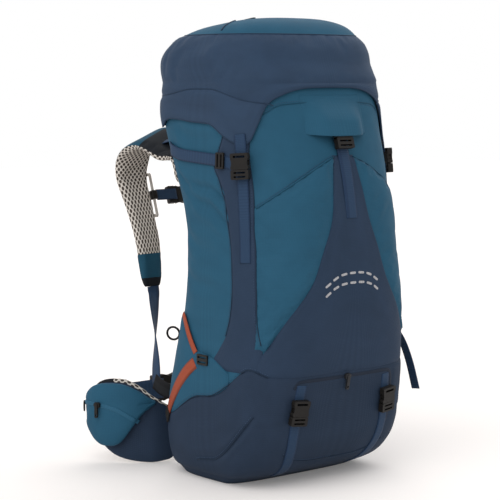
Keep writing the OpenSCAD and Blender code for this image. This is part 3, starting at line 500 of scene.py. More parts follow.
def settle(piece, sewn, pressure, growth, cap):
    before = [vertex.co.copy() for vertex in piece.data.vertices]
    group = piece.vertex_groups.new(name="sewn")
    group.add([vertex.index for vertex in piece.data.vertices if sewn(vertex)], 1.0, "REPLACE")
    pickOnly(piece)
    modifier = piece.modifiers.new("cloth", "CLOTH")
    settings = modifier.settings
    settings.quality = cloth["quality"]
    settings.mass = cloth["mass"]
    settings.tension_stiffness = settings.compression_stiffness = cloth["stretch"]
    settings.bending_stiffness = cloth["bending"]
    settings.vertex_group_mass = "sewn"
    settings.use_pressure = True
    settings.uniform_pressure_force = pressure
    settings.shrink_min = -growth
    settings.effector_weights.gravity = 0
    modifier.collision_settings.use_collision = False
    modifier.point_cache.frame_start, modifier.point_cache.frame_end = 1, cloth["frames"]
    for step in range(1, cloth["frames"] + 1):
        scene.frame_set(step)
    bpy.ops.object.modifier_apply(modifier=modifier.name)
    scene.frame_set(1)
    most = 0.0
    for vertex, old in zip(piece.data.vertices, before):
        move = vertex.co - old
        most = max(most, move.length / mm)
        if move.length > 0:
            vertex.co = old + move * (math.tanh(move.length / (cap * mm)) * cap * mm / move.length)
    piece.vertex_groups.clear()
    print("settled", piece.name, "furthest", round(most, 1), "mm before the cap of", cap)


# Points on the open edge of a sheet, which are sewn down
def sewnRim(piece):
    uses = {}
    for face in piece.data.polygons:
        for key in face.edge_keys:
            uses[key] = uses.get(key, 0) + 1
    rim = {i for key, count in uses.items() if count == 1 for i in key}
    return lambda vertex: vertex.index in rim


# The sewn cloth as one tree, so that a trim lies on it wherever the folds have gone
def clothTree(names):
    points, faces = [], []
    for name in names:
        mesh = bpy.data.objects[name].data
        start = len(points)
        points += [vertex.co.copy() for vertex in mesh.vertices]
        faces += [[start + i for i in face.vertices] for face in mesh.polygons]
    return BVHTree.FromPolygons(points, faces)


def restOn(tree, point, out, reach=40):
    spot = tree.ray_cast((point + out * reach) * mm, -out, 2 * reach * mm)[0]
    return 0.0 if spot is None else (spot / mm - point).dot(out)


# A path laid on the cloth, evened out so that it bridges small folds
def layPath(tree, points, outs, lift):
    gaps = [restOn(tree, point, out) for point, out in zip(points, outs)]
    last = len(points) - 1
    level = [max(gaps[max(i - 1, 0):min(i + 1, last) + 1]) for i in range(last + 1)]
    spans = [level[max(i - 2, 0):min(i + 2, last) + 1] for i in range(last + 1)]
    return [point + out * (sum(span) / len(span) + lift) for point, out, span in zip(points, outs, spans)]


def dress(piece, body, slotName, materials, *nodes):
    for material in materials:
        piece.data.materials.append(material)
    if isinstance(body, tuple):
        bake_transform(piece)
    else:
        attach(piece, body)
    if nodes:
        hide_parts(*nodes)
    return piece


# A piece joined with its mirror image
def dressBoth(piece, name, body, slotName, materials, *nodes):
    dress(joinAll([piece, mirrorCopy(piece, name + "_twin")], name), body, slotName, materials, *nodes)


# A piece and its mirror image as two: {} in the names of the body and the node stands for the side
def dressSides(first, soften, body, slotName, materials, *nodes):
    side, other = ("left", "right") if "left" in first.name else ("right", "left")
    twin = mirrorCopy(first, first.name.replace(side, other))
    for piece, name in ((first, side), (twin, other)):
        soften(piece)
        dress(piece, body.format(name), slotName, materials, *[node.format(name) for node in nodes])


def paintFaces(piece, choose):
    for face in piece.data.polygons:
        face.material_index = choose(face)


def sheetOf(piece, width, length, held="stretched"):
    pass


# Main bag: the teal shell, closed below, open at the mouth, with its lining
bagShell = {
    "columns": 300, "wallRows": 168, "liningRows": 26, "wall": 3.0, "liningLow": 8.0, "floorZ": 12.0,
    "rowPower": 1.1, "floorShares": (0.0, 0.3, 0.6, 0.85), "insideShares": (0.6, 0.3, 0.0),
    "hem": (590, 625), "lip": 0.4, "lipIn": 1.0, "navyBelow": 34.0, "middleY": 55, "insideY": 30,
    "size": (1150, 1500),
    "heldBehind": ((126, 140), (400, 414)), "heldEnds": ((34, 50), (630, 646)),
    "ripples": ((1.0, 0.014), (0.5, 0.04)), "degMm": 3.0,
    "creases": [((174, 510), (191, 474), 5, -4.6), ((175, 484), (193, 428), 6, -4.6),
                ((158, 520), (176, 492), 7, -2.6), ((160, 420), (184, 390), 9, -2.4),
                ((158, 352), (188, 330), 9, -2.2), ((168, 596), (182, 572), 8, -2.4),
                ((176, 36), (216, 130), 5, -2.6)]}


# Each ripple is a height in mm and waves per mm
def rippleAt(p, ripples):
    return sum(height * noise.noise(p * scale) for height, scale in ripples)


# A crease runs between two places on the left half, with its width and depth, and has a soft ridge beside it
creaseShape = {"rise": (-0.1, 0.3), "fall": (0.7, 1.1), "ridge": 0.5, "ridgeAt": 2.2}


def creaseDepth(angle, height, creases):
    depth = 0.0
    side = leftAngle(angle)
    for (t0, z0), (t1, z1), width, deep in creases:
        ax, ay = (side - t0) * bagShell["degMm"], height - z0
        bx, by = (t1 - t0) * bagShell["degMm"], z1 - z0
        along = (ax * bx + ay * by) / (bx * bx + by * by)
        near = min(max(along, 0), 1)
        gap = math.hypot(ax - bx * near, ay - by * near)
        fade = smooth(*creaseShape["rise"], along) * (1 - smooth(*creaseShape["fall"], along))
        ridge = creaseShape["ridge"] * math.exp(-((gap - creaseShape["ridgeAt"] * width) / width) ** 2)
        depth += deep * fade * (math.exp(-(gap / width) ** 2) - ridge)
    return depth


# The cloth is held at the back, the base and the mouth
def looseAt(angle, height):
    turn = angle + 360 if angle < 90 else angle
    rise, fall = bagShell["heldBehind"]
    low, high = bagShell["heldEnds"]
    sides = smooth(*rise, turn) * (1 - smooth(*fall, turn))
    return sides * smooth(*low, height) * (1 - smooth(*high, height))


def shellRows():
    top, wall, lining = skin["height"], bagShell["wall"], bagShell["liningLow"]
    count, power = bagShell["wallRows"], bagShell["rowPower"]
    rows = [(0.0, 0.0, share) for share in bagShell["floorShares"]]
    rows += [(top * (i / count) ** power, 0.0, 1.0) for i in range(count + 1)]
    rows += [(top + bagShell["lip"], -bagShell["lipIn"], 1.0), (top, -wall, 1.0)]
    for i in range(1, bagShell["liningRows"] + 1):
        height = mix(top, bagShell["floorZ"], i / bagShell["liningRows"])
        rows.append((height, -mix(lining, wall, smooth(*bagShell["hem"], height)), 1.0))
    return rows + [(bagShell["floorZ"], -lining, share) for share in bagShell["insideShares"]]


def facesIn(face, centre):
    return face.normal.xy.dot(Vector((centre.x, centre.y - bagShell["insideY"]))) < 0


def makeBagShell():
    rows = shellRows()

    def place(u, v):
        height, off, share = rows[round(v * (len(rows) - 1))]
        angle = 360 * u
        if off == 0 and share == 1:
            folds = rippleAt(skinPoint(angle, height), bagShell["ripples"])
            off = looseAt(angle, height) * (creaseDepth(angle, height, bagShell["creases"]) + folds)
        middle = Vector((0, bagShell["middleY"], height))
        return middle + (skinPoint(angle, height, off) - middle) * share

    def choose(face):
        centre = face.center / mm
        outside = face.normal.xy.dot(centre.xy) > 0
        if face.normal.z < -flatFace or centre.z < bagShell["navyBelow"] and outside:
            return 1
        return 2 if facesIn(face, centre) or face.normal.z > flatFace else 0

    piece = sewnGrid("bag_shell", bagShell["columns"], len(rows) - 1, place, bagShell["size"], True)
    paintFaces(piece, choose)
    dress(piece, "bag", "teal_nylon", [tealNylon, baseNylon, liningNylon], "main_bag")


makeBagShell()
print("bag shell sewn")

# Sewn panels on the skin. Each lies between two edges that depend on the height, puffed between its seams.
panelRipple = {"wide": 0.016, "fine": 0.045, "fineShare": 0.4}


def puffAt(u, v, width, length, roll):
    edge = min(u * width, (1 - u) * width, v * length, (1 - v) * length)
    k = min(max(edge / roll, 0), 1)
    return 1 - (1 - k) ** 2


def skinPanel(name, settings, leftEdge, rightEdge, lowEdge=None, topEdge=None, relief=None):
    drift = Vector((settings["seed"], 0, 0))

    def place(u, v):
        height = mix(settings["low"], settings["top"], v)
        angle = mix(leftEdge(height), rightEdge(height), u)
        if topEdge:
            height = mix(lowEdge(angle), topEdge(angle), v)
        puff = puffAt(u, v, *settings["size"], settings["roll"])
        p = skinPoint(angle, height)
        ripple = settings["ripple"] * noise.noise(p * panelRipple["wide"] + drift)
        ripple += panelRipple["fineShare"] * settings["ripple"] * noise.noise(p * panelRipple["fine"])
        ripple += relief(angle, height) if relief else 0
        return skinPoint(angle, height, settings["seat"] + puff * (settings["puff"] + ripple))

    return sewnGrid(name, *settings["cells"], place, settings["size"])


# Top edge of the navy base panel, by the angle from the front's middle
bootEdge = [(0, 194), (46, 196), (62, 207), (70, 199), (79, 180), (86, 163), (92, 147), (98, 132),
            (104, 120), (110, 112), (130, 100)]


def bootTop(angle):
    return curveAt(bootEdge, fromFront(angle))


# Front pocket: a navy centre that widens downwards, with a teal flank on each side
frontPocket = {
    "centreHalf": [(192, 60), (214, 57), (240, 50), (284, 38), (322, 27), (350, 20.5), (396, 15), (448, 9),
                   (500, 6.5), (552, 4)],
    "topMiddle": 558.0, "topFall": 1.5, "outer": 60.0, "least": 0.3, "lap": 0.4, "under": 3,
    "centre": {"low": 196, "top": 553, "cells": (56, 90), "size": (260, 360), "roll": 10, "puff": 2.6,
               "seat": 0.4, "ripple": 1.0, "seed": 3, "flat": (330, 380)},
    "flank": {"low": 238, "top": 551, "cells": (40, 90), "size": (110, 320), "roll": 16, "puff": 4.2,
              "seat": 0.2, "ripple": 1.6, "seed": 11, "flat": (150, 340),
              "settle": {"pressure": 2.0, "growth": 0.012, "cap": 3.0}},
}


def centreHalf(height):
    return curveAt(frontPocket["centreHalf"], height)


def flankOuter(height):
    outer = min(frontPocket["outer"], (frontPocket["topMiddle"] - height) / frontPocket["topFall"])
    return max(outer, centreHalf(height) + frontPocket["least"])


def makeFrontPocket():
    settings, flank, lap = frontPocket["centre"], frontPocket["flank"], frontPocket["lap"]
    centre = skinPanel("front_pocket_centre", settings, lambda z: 270 - centreHalf(z) - lap,
                       lambda z: 270 + centreHalf(z) + lap, lambda t: bootTop(t) - frontPocket["under"],
                       lambda t: settings["top"])
    sheetOf(centre, *settings["flat"])
    dress(centre, "bag", "navy_nylon", [navyNylon], "front_pocket")
    left = skinPanel("front_pocket_left", flank, lambda z: 270 - flankOuter(z),
                     lambda z: 270 - centreHalf(z))
    settle(left, sewnRim(left), **flank["settle"])
    dressSides(left, lambda piece: sheetOf(piece, *flank["flat"]), "bag", "teal_nylon", [tealNylon])


makeFrontPocket()

# Base boot of navy packcloth round the lower bag, with a crease and a raised patch on each side
baseBoot = {"low": 14, "top": 200, "cells": (150, 44), "size": (760, 190), "roll": 8, "puff": 2.2,
            "seat": 0.9, "ripple": 1.0, "seed": 21, "flat": (820, 230), "from": 142.5, "to": 397.5,
            "crease": ((176, 36), (216, 130), 5, -2.6), "patch": (201, 246, 112), "patchRise": 1.3,
            "patchEdge": (3, 8)}


def bootRelief(angle, height):
    side = leftAngle(angle)
    low, high, bottom = baseBoot["patch"]
    turn, rise = baseBoot["patchEdge"]
    raised = smooth(low, low + turn, side) * (1 - smooth(high - turn, high, side))
    raised *= smooth(bottom, bottom + rise, height)
    return creaseDepth(angle, height, [baseBoot["crease"]]) + baseBoot["patchRise"] * raised


def makeBaseBoot():
    boot = skinPanel("base_boot_cloth", baseBoot, lambda z: baseBoot["from"], lambda z: baseBoot["to"],
                     lambda t: baseBoot["low"], bootTop, bootRelief)
    sheetOf(boot, *baseBoot["flat"])
    dress(boot, "bag", "navy_nylon", [baseNylon], "base_boot")


makeBaseBoot()

# Navy corner panels that carry the lid straps
cornerPanel = {"low": 200, "top": 590, "cells": (22, 96), "size": (60, 390), "roll": 8, "puff": 2.2,
               "seat": 0.4, "ripple": 0.8, "seed": 31, "flat": (100, 400),
               "left": [(198, 188), (212, 182), (232, 184), (258, 188.5), (292, 192), (336, 194), (398, 194),
                        (444, 192), (484, 189.5), (514, 185.5), (534, 182.5), (558, 185), (590, 189.5)],
               "right": [(198, 216), (240, 217), (252, 215.5), (284, 212), (338, 211), (400, 211), (436, 210),
                         (492, 210.5), (548, 209), (590, 211)]}


def makeCornerPanels():
    left = skinPanel("left_corner_cloth", cornerPanel, lambda z: curveAt(cornerPanel["left"], z),
                     lambda z: curveAt(cornerPanel["right"], z))
    dressSides(left, lambda piece: sheetOf(piece, *cornerPanel["flat"]), "bag", "navy_nylon", [navyNylon],
               "{}_corner_panel")


makeCornerPanels()

# Stretch side pockets below the orange straps
sidePocket = {"low": 120, "top": 286, "cells": (44, 40), "size": (130, 140), "roll": 9, "puff": 3.4,
              "seat": 0.4, "ripple": 1.2, "seed": 41, "flat": (180, 170), "from": 142, "to": 190, "under": 2,
              "topEdge": [(142, 286), (160, 268), (176, 232), (183, 214), (190, 196)]}


def makeSidePockets():
    left = skinPanel("left_side_pocket_cloth", sidePocket, lambda z: sidePocket["from"],
                     lambda z: sidePocket["to"], lambda t: bootTop(t) - sidePocket["under"],
                     lambda t: curveAt(sidePocket["topEdge"], t))
    dressSides(left, lambda piece: sheetOf(piece, *sidePocket["flat"]), "bag", "teal_nylon", [tealNylon],
               "{}_side_pocket")


makeSidePockets()
print("panels sewn on")

# Hood over the front buckle: a flap that stands off the bag at its lower edge and runs into it above
frontHood = {"half": 18.0, "flatHalf": 5.0, "low": 588, "level": 607, "top": 652, "dip": 3, "seat": 0.3,
             "rise": 18.4, "cells": (56, 34), "size": (84, 66), "flat": (110, 90), "thick": 1.4}


def makeFrontHood():
    half, top = frontHood["half"], frontHood["top"]

    def place(u, v):
        away = abs(2 * u - 1)
        dip = frontHood["dip"] * math.cos(math.pi / 2 * away) * (1 - v)
        height = mix(frontHood["low"], top, v) - dip
        stand = 1 - smooth(frontHood["flatHalf"], half, away * half)
        stand *= 1 - smooth(frontHood["level"], top, height)
        return skinPoint(270 + (2 * u - 1) * half, height, mix(frontHood["seat"], frontHood["rise"], stand))

    hood = sewnGrid("front_hood_cloth", *frontHood["cells"], place, frontHood["size"])
    sheetOf(hood, *frontHood["flat"])
    applyModifier(hood, "SOLIDIFY", thickness=frontHood["thick"] * mm, offset=-1)
    dress(hood, "bag", "teal_nylon", [tealNylon], "front_hood")


makeFrontHood()

# Lid: a stuffed pocket with a skirt, navy round the sides and teal on top
lid = {"gap": 2.4, "off": 5.0, "seat": 0.4, "height": 104, "tilt": 18, "mid": 37.12, "reach": 148.76,
       "columns": 168, "skirtRows": 26, "sideRows": 20, "topRows": 18, "capRows": 16, "innerRows": 10,
       "size": (1000, 620), "capZ": 752.0, "zipY": 69.12, "rear": 100, "capBack": 18,
       "pinch": 2.6, "pinchWide": 6.0, "pinchFrom": (38, 50), "skirtSwell": 1.6, "skirtEarly": 1.1,
       "sideSwell": 3.0, "sidePower": 0.7, "sideLean": (1.2, 60), "rearFlat": 0.9, "rearFrom": (60, 115),
       "topSwell": 2.0, "topPower": 1.6, "capSwell": 2.5, "zipHold": ((6, 20), (58, 74)),
       "capGuess": 0.8, "capTries": 6, "capMost": 0.96, "sewnBelow": 4, "sewnAbove": 1.5, "paintFrom": 40,
       "paintCap": 0.5, "settle": {"pressure": 3.0, "growth": 0.02, "cap": 4.0},
       "ripples": ((1.3, 0.015), (0.6, 0.04)),
       "seam": [(36, 634), (42.5, 638), (61.5, 644), (83, 658), (92, 662), (105.5, 654), (125, 650),
                (152, 648), (180, 648)],
       "drop": [(0, 7), (15, 9), (29, 18), (43, 36), (52, 68), (60, 96), (70, 98), (80, 86), (92, 64),
                (104, 60), (112, 63), (120, 71), (130, 75), (146, 72), (180, 70)],
       "plan": [(0, 1.0), (0.25, 0.975), (0.46, 0.955), (0.66, 0.89), (0.83, 0.775), (0.94, 0.59), (1, 0.38)],
       "shift": [(0, 0.0), (0.25, 13.0), (0.46, 16.0), (0.66, 17.0), (0.83, 18.0), (0.94, 18.0), (1, 18.0)]}
lidBase = skin["height"] + lid["seat"]


def lidLow(angle):
    return skin["height"] - curveAt(lid["drop"], fromFront(angle))


def lidSeam(angle):
    return curveAt(lid["seam"], fromFront(angle))


def lidSlope(y):
    return lid["tilt"] * (y - lid["mid"]) / lid["reach"]


# A point on the lid's crown: its share of the way from the skirt to the top, and a scale for the cap's rings
def crownPoint(angle, share, scale=1.0):
    p = skinPoint(angle, skin["height"], lid["off"])
    plan = curveAt(lid["plan"], share) * scale
    y = lid["mid"] + (p.y - lid["mid"]) * plan + curveAt(lid["shift"], share)
    return Vector((p.x * plan, y, lidBase + (lid["height"] - lidSlope(y)) * share))


@functools.lru_cache(maxsize=None)
def capShare(angle):
    share = lid["capGuess"]
    for _ in range(lid["capTries"]):
        share *= (lid["capZ"] - skin["height"]) / (crownPoint(angle, share).z - skin["height"])
    return min(share, lid["capMost"])


def lidUnder(angle, k):
    p = skinPoint(angle, lidBase, lid["gap"])
    return Vector((p.x * k, lid["mid"] + (p.y - lid["mid"]) * k, p.z))


def lidInner(angle, k):
    return skinPoint(angle, mix(lidLow(angle), lidBase, k), lid["gap"])


def lidOuter(angle, k):
    height = mix(lidLow(angle), lidBase, k)
    pinch = lid["pinch"] * math.exp(-((height - lidSeam(angle)) / lid["pinchWide"]) ** 2)
    pinch *= smooth(*lid["pinchFrom"], fromFront(angle))
    swell = lid["skirtSwell"] * math.sin(math.pi * min(k * lid["skirtEarly"], 1)) - pinch
    return skinPoint(angle, height, lid["off"]) + skinOut(angle, height) * swell


def lidSide(angle, k):
    p = crownPoint(angle, capShare(angle) * k)
    wave = math.sin(math.pi * k)
    deep, tall = lid["sideLean"]
    out = Vector((p.x, (p.y - lid["mid"]) * deep, tall * k)).normalized()
    # flat behind, where it folds down over the straps
    flat = 1 - lid["rearFlat"] * smooth(*lid["rearFrom"], p.y - lid["mid"])
    swell = lid["sideSwell"] * wave ** lid["sidePower"]
    return p + out * (swell + rippleAt(p, lid["ripples"]) * wave) * flat


def lidTop(angle, k):
    p = crownPoint(angle, mix(capShare(angle), 1.0, 1 - (1 - k) ** lid["topPower"]))
    return p + Vector((0, 0, lid["topSwell"] * math.sin(math.pi * k)))


def lidCap(angle, k):
    p = crownPoint(angle, 1.0, k)
    # the zip holds the cloth down along its length
    aside, beyond = lid["zipHold"]
    held = (1 - smooth(*aside, abs(p.y - lid["zipY"]))) * (1 - smooth(*beyond, abs(p.x)))
    return p + Vector((0, 0, lid["capSwell"] * (1 - k * k) * (1 - held)))


def makeLid():
    rows = [(lidUnder, 0.0), (lidUnder, 0.5)]
    rows += [(lidInner, 1 - i / lid["innerRows"]) for i in range(lid["innerRows"] + 1)]
    rows += [(lidOuter, i / lid["skirtRows"]) for i in range(lid["skirtRows"] + 1)]
    rows += [(lidSide, i / lid["sideRows"]) for i in range(1, lid["sideRows"] + 1)]
    rows += [(lidTop, i / lid["topRows"]) for i in range(1, lid["topRows"] + 1)]
    rows += [(lidCap, 1 - i / lid["capRows"]) for i in range(1, lid["capRows"] + 1)]

    def place(u, v):
        shape, k = rows[round(v * (len(rows) - 1))]
        return shape(360 * u, k)

    def sewn(vertex):
        y, z = vertex.co.yz / mm
        loose = skin["height"] + lid["sewnBelow"] < z < lid["capZ"] - lid["sewnAbove"]
        return not loose or y > lid["mid"] + lid["rear"]

    def choose(face):
        centre = face.center / mm
        if centre.z > skin["height"] + lid["paintFrom"]:
            return 1 if centre.z > lid["capZ"] + lid["paintCap"] else 0
        return 2 if facesIn(face, centre) or face.normal.z < -flatFace else 0

    piece = sewnGrid("lid_pocket", lid["columns"], len(rows) - 1, place, lid["size"], True)
    settle(piece, sewn, **lid["settle"])
    paintFaces(piece, choose)
    dress(piece, "lid", "navy_nylon", [lidNylon, tealNylon, liningNylon], "lid")


makeLid()
print("lid sewn")


# The way a path runs at one of its points
def wayAt(points, i):
    return points[min(i + 1, len(points) - 1)] - points[max(i - 1, 0)]


def pathLength(points):
    return sum((b - a).length for a, b in zip(points, points[1:]))


def smoothPath(points, outs, count):
    last = len(points) - 1
    pathTable = [(i / last, p) for i, p in enumerate(points)]
    outTable = [(i / last, o) for i, o in enumerate(outs)]
    return ([curveAt(pathTable, i / count) for i in range(count + 1)],
            [curveAt(outTable, i / count).normalized() for i in range(count + 1)])


# Webbing: a band along the middle of its inner face, with its own way out at each point and a low crown
webbingCrown = [0.0, 0.22, 0.3, 0.3, 0.22, 0.0]


def webbingBand(name, points, outs, width, thick=1.5, count=40):
    path, ways = smoothPath(points, outs, count)
    strips = len(webbingCrown) - 1

    def place(u, v):
        i = round(v * count)
        along = wayAt(path, i).normalized()
        side = ways[i].cross(along).normalized()
        up = along.cross(side).normalized()
        return path[i] + side * (width * (u - 0.5)) + up * webbingCrown[round(u * strips)]

    band = sewnGrid(name, strips, count, place, (width, pathLength(path)))
    applyModifier(band, "SOLIDIFY", thickness=thick * mm, offset=1)
    return band


def skinBand(name, knots, width, count=40):
    outs = [skinOut(angle, height) for angle, height, off in knots]
    return webbingBand(name, [skinPoint(*knot) for knot in knots], outs, width, count=count)


# Piping: a thin cord sewn into a seam
def pipeAlong(name, points, outs, radius, sides=8):
    count = len(points) - 1

    def place(u, v):
        i = round(v * count)
        along = wayAt(points, i).normalized()
        side = outs[i].cross(along).normalized()
        q = 2 * math.pi * u
        return points[i] + (side * math.cos(q) + along.cross(side) * math.sin(q)) * radius

    pipe = sewnGrid(name, sides, count, place, (2 * math.pi * radius, pathLength(points)), True)
    capEnds(pipe)
    return pipe


# A smooth line through given places, and one that lies on the skin through places (angle, height)
def smoothLine(knots, steps):
    table = [(i, Vector(knot)) for i, knot in enumerate(knots)]
    return [curveAt(table, i / steps) for i in range(steps * (len(knots) - 1) + 1)]


def seamLine(knots):
    line = smoothLine(knots, 10)
    return [skinPoint(*k) for k in line], [skinOut(*k) for k in line]


# Straps on the bag: each knot is (angle, height, how far off the skin)
onPanel = 3.4
offPanel = onPanel + 0.8
strapSet = {
    "side": [(149, 563, 0.8), (155, 560.5, 2.4), (162, 557, onPanel), (174, 551, onPanel),
             (186, 545, onPanel), (197, 539.5, onPanel)],
    "upperCinch": [(158, 283), (165, 272), (171, 254), (175, 238), (178, 222)], "upperWide": 11,
    "lowerCinch": ((178, 205, offPanel), (149, 106, offPanel)), "lowerSteps": 9,
    "lidT": 204, "lidMouth": 532, "frontMouth": 580, "padT": 253, "padMouth": 130,
    "padDrops": (116, 109, 101, 92, 84, 70, 52, 34, 16, 0.4),
    "wide": 20, "frontWide": 25, "tail20": 19.0, "tail25": 21.75, "clear": 0.4}


def upright(angle, knots):
    return [(angle, *knot) for knot in knots]


def makeBagWebbing():
    wide, clear, steps = strapSet["wide"], strapSet["clear"], strapSet["lowerSteps"]
    dressBoth(skinBand("left_side_strap", strapSet["side"], wide), "side_strap_webbing", "bag",
              "navy_webbing", [navyWebbing], "side_straps")
    upper = skinBand("upper_cinch", [(t, z, onPanel + 0.6) for t, z in strapSet["upperCinch"]],
                     strapSet["upperWide"])
    start, end = strapSet["lowerCinch"]
    lower = skinBand("lower_cinch", [tuple(mix(p, q, i / steps) for p, q in zip(start, end))
                                     for i in range(steps + 1)], wide)
    dressBoth(joinAll([upper, lower], "left_cinch"), "cinch_webbing", "bag", "orange_webbing",
              [orangeWebbing], "cinch_straps")
    mouth = strapSet["lidMouth"]
    low = upright(strapSet["lidT"], [(380, onPanel), (410, onPanel), (440, offPanel),
                                     (mouth - clear, onPanel + 3.2)])
    dressBoth(skinBand("left_lid_strap", low, wide), "lid_strap_webbing", "bag", "navy_webbing",
              [navyWebbing], "lid_strap_bottoms")
    tail = mouth + strapSet["tail20"]
    high = upright(strapSet["lidT"], [(tail, onPanel + 3.6), (tail + 12, onPanel + 4.0), (tail + 24, 7.2),
                                      (tail + 38, 7.0)])
    dressBoth(skinBand("left_lid_top", high, wide), "lid_top_webbing", "lid", "navy_webbing",
              [navyWebbing], "lid_strap_tops")
    mouth = strapSet["frontMouth"]
    tail = mouth + strapSet["tail25"]
    low = upright(270, [(450, onPanel), (474, onPanel), (mouth - 60, offPanel), (mouth - clear, offPanel)])
    high = upright(270, [(tail, offPanel), (tail + 20, 2.0), (tail + 34, 1.0)])
    pieces = [skinBand("front_low", low, strapSet["frontWide"]),
              skinBand("front_high", high, strapSet["frontWide"])]
    mouth = strapSet["padMouth"]
    tail = mouth + strapSet["tail20"]
    low = upright(strapSet["padT"], [(mouth - drop, offPanel) for drop in strapSet["padDrops"]])
    high = upright(strapSet["padT"], [(tail, offPanel), (tail + 12, onPanel), (tail + 30, onPanel)])
    pads = [skinBand("pad_low", low, wide), skinBand("pad_high", high, wide, count=16)]
    pieces += pads + [mirrorCopy(pad, pad.name + "_right") for pad in pads]
    dress(joinAll(pieces, "front_webbing"), "bag", "navy_webbing", [navyWebbing], "front_strap")


makeBagWebbing()


# A cube at its size and place in mm, with rounded edges
def bevelBox(place, size, radius, segments):
    pickOnly()
    bpy.ops.mesh.primitive_cube_add(size=1)
    box = bpy.context.object
    box.data.transform(Matrix.Translation(Vector(place) * mm) @ Matrix.Diagonal((*(Vector(size) * mm), 1)))
    applyModifier(box, "BEVEL", width=radius * mm, segments=segments)
    return box


# Turns a piece's own X, Y and Z to three directions
def turnTo(x, y, z):
    return Matrix((x, y, z)).transposed().to_4x4()


# Ladder lock at the foot of each orange strap: two rails and three bars
cinchLock = {"low": (147.5, 97), "high": (151, 112), "wide": 25, "long": 19, "bar": 3.4, "thick": 3.4,
             "off": 4.6, "radius": 0.9}


def makeCinchLocks():
    wide, long, bar, thick = (cinchLock[key] for key in ("wide", "long", "bar", "thick"))
    bars = [((side * (wide - bar) / 2, 0, 0), (bar, long, thick)) for side in (-1, 1)]
    bars += [((0, row * (long - bar) / 2, 0), (wide - bar, bar, thick)) for row in (-1, 0, 1)]
    left = joinAll([bevelBox(*each, cinchLock["radius"], 2) for each in bars], "left_cinch_lock")
    low, high = (skinPoint(*cinchLock[end], cinchLock["off"]) for end in ("low", "high"))
    along = (high - low).normalized()
    side = along.cross(skinOut(*cinchLock["low"])).normalized()
    left.data.transform(Matrix.Translation((low + high) / 2 * mm) @ turnTo(side, along, side.cross(along)))
    dressBoth(left, "cinch_locks", "bag", "black_acetal", [blackAcetal])


makeCinchLocks()

# Back: the frame's tubes, the bowed net and the pads on it, by height
backFrame = {"gap": 1.4, "tube": 3.5, "netGap": 0.4, "bow": 18, "bowLow": 60, "bowSpan": 490, "net": 3.6}
backNet = {"half": 104, "low": 54, "top": 554, "seat": 0.2, "thick": 2.6, "cells": (40, 110),
           "size": (208, 520), "flat": (208, 540)}
lumbarPad = {"low": 30, "top": 150, "thick": 12, "square": 3.6, "cells": (96, 40),
             "half": lambda v: 92 - 18 * v ** 3}
yokePad = {"low": 460, "top": 554, "thick": 9, "square": 3.6, "cells": (96, 34),
           "half": lambda v: 84 + 14 * v}
padShape = {"endHalf": 0.86, "endThick": 0.25, "endPower": 6, "seat": 0.3, "sewn": 0.6,
            "settle": {"pressure": 4.0, "growth": 0.0, "cap": 2.0}}


def frameY(z):
    return skinRing(round(z, 3))[2] + backFrame["gap"] + backFrame["tube"]


def meshY(z):
    bow = math.sin(math.radians(180 * (z - backFrame["bowLow"]) / backFrame["bowSpan"]))
    return frameY(z) + backFrame["tube"] + backFrame["netGap"] + backFrame["bow"] * max(0, bow)


def backY(z):
    return meshY(z) + backFrame["net"]


# Padded plate on the back, between two heights, with rounded edges
def backPad(name, settings):
    columns, rows = settings["cells"]
    turns, around = evenTurns(settings["half"](0.5), settings["thick"] / 2, settings["square"], columns)

    def place(u, v):
        z = mix(settings["low"], settings["top"], v)
        end = 1 - abs(2 * v - 1) ** padShape["endPower"]
        half = settings["half"](v) * mix(padShape["endHalf"], 1, end)
        thick = settings["thick"] * mix(padShape["endThick"], 1, end)
        x, rise = roundSection(turns[round(u * columns)], half, 1, settings["square"])
        return Vector((x, backY(z) + padShape["seat"] + thick / 2 * (1 + rise), z))

    pad = sewnGrid(name, columns, rows, place, (around, settings["top"] - settings["low"]), True)
    capEnds(pad)
    return pad


def makeBackPads():
    for name, settings, node in (("lumbar_cushion", lumbarPad, "lumbar_pad"),
                                 ("yoke_cushion", yokePad, "shoulder_yoke")):
        pad = backPad(name, settings)
        edge = settings["thick"] * padShape["sewn"]
        settle(pad, lambda vertex: vertex.co.y / mm < backY(vertex.co.z / mm) + edge, **padShape["settle"])
        dress(pad, "bag", "spacer_mesh", [mutedMesh], node)


def makeBackNet():
    half = backNet["half"]

    def place(u, v):
        z = mix(backNet["low"], backNet["top"], v)
        return Vector((mix(half, -half, u), meshY(z) + backNet["seat"], z))

    net = sewnGrid("back_net", *backNet["cells"], place, backNet["size"])
    sheetOf(net, *backNet["flat"])
    applyModifier(net, "SOLIDIFY", thickness=backNet["thick"] * mm, offset=1)
    dress(net, "bag", "spacer_mesh", [mutedMesh], "back_mesh")


makeBackPads()
makeBackNet()

# Shoulder strap: a tapered pad along a route, mesh towards the wearer and teal outside
strapPad = {"rootX": 84, "low": 498, "bend": 546, "width": 76, "thick": 15, "yoke": 9,
            "route": [(4, 35, 8), (8, 88, 26), (11, 130, 4), (10, 146, -42), (6, 127, -103), (3, 107, -168),
                      (2, 96, -240)],
            "roll": [(0, 0), (0.06, 0.12), (0.14, 0.26), (0.25, 0.36), (0.375, 0.45), (0.5, 0.25), (0.58, 0),
                     (1, 0)],
            "taper": [(0, 0.86), (0.2, 1), (0.5, 0.99), (0.64, 0.87), (0.8, 0.69), (0.92, 0.63), (1, 0.5)],
            "square": 3.4, "around": 72, "rows": 150, "length": 470, "gap": 0.4, "seat": 0.62,
            "midShare": 0.45, "end": 0.03, "endHalf": 0.82, "endThick": 0.35, "rails": (0.625, 0.775),
            "sleeve": 0.9, "tip": 0.975, "dark": 0.52, "black": 0.36, "outside": -0.35,
            "settle": {"pressure": 4.0, "growth": 0.01, "cap": 1.8}}
pathStep = 0.02


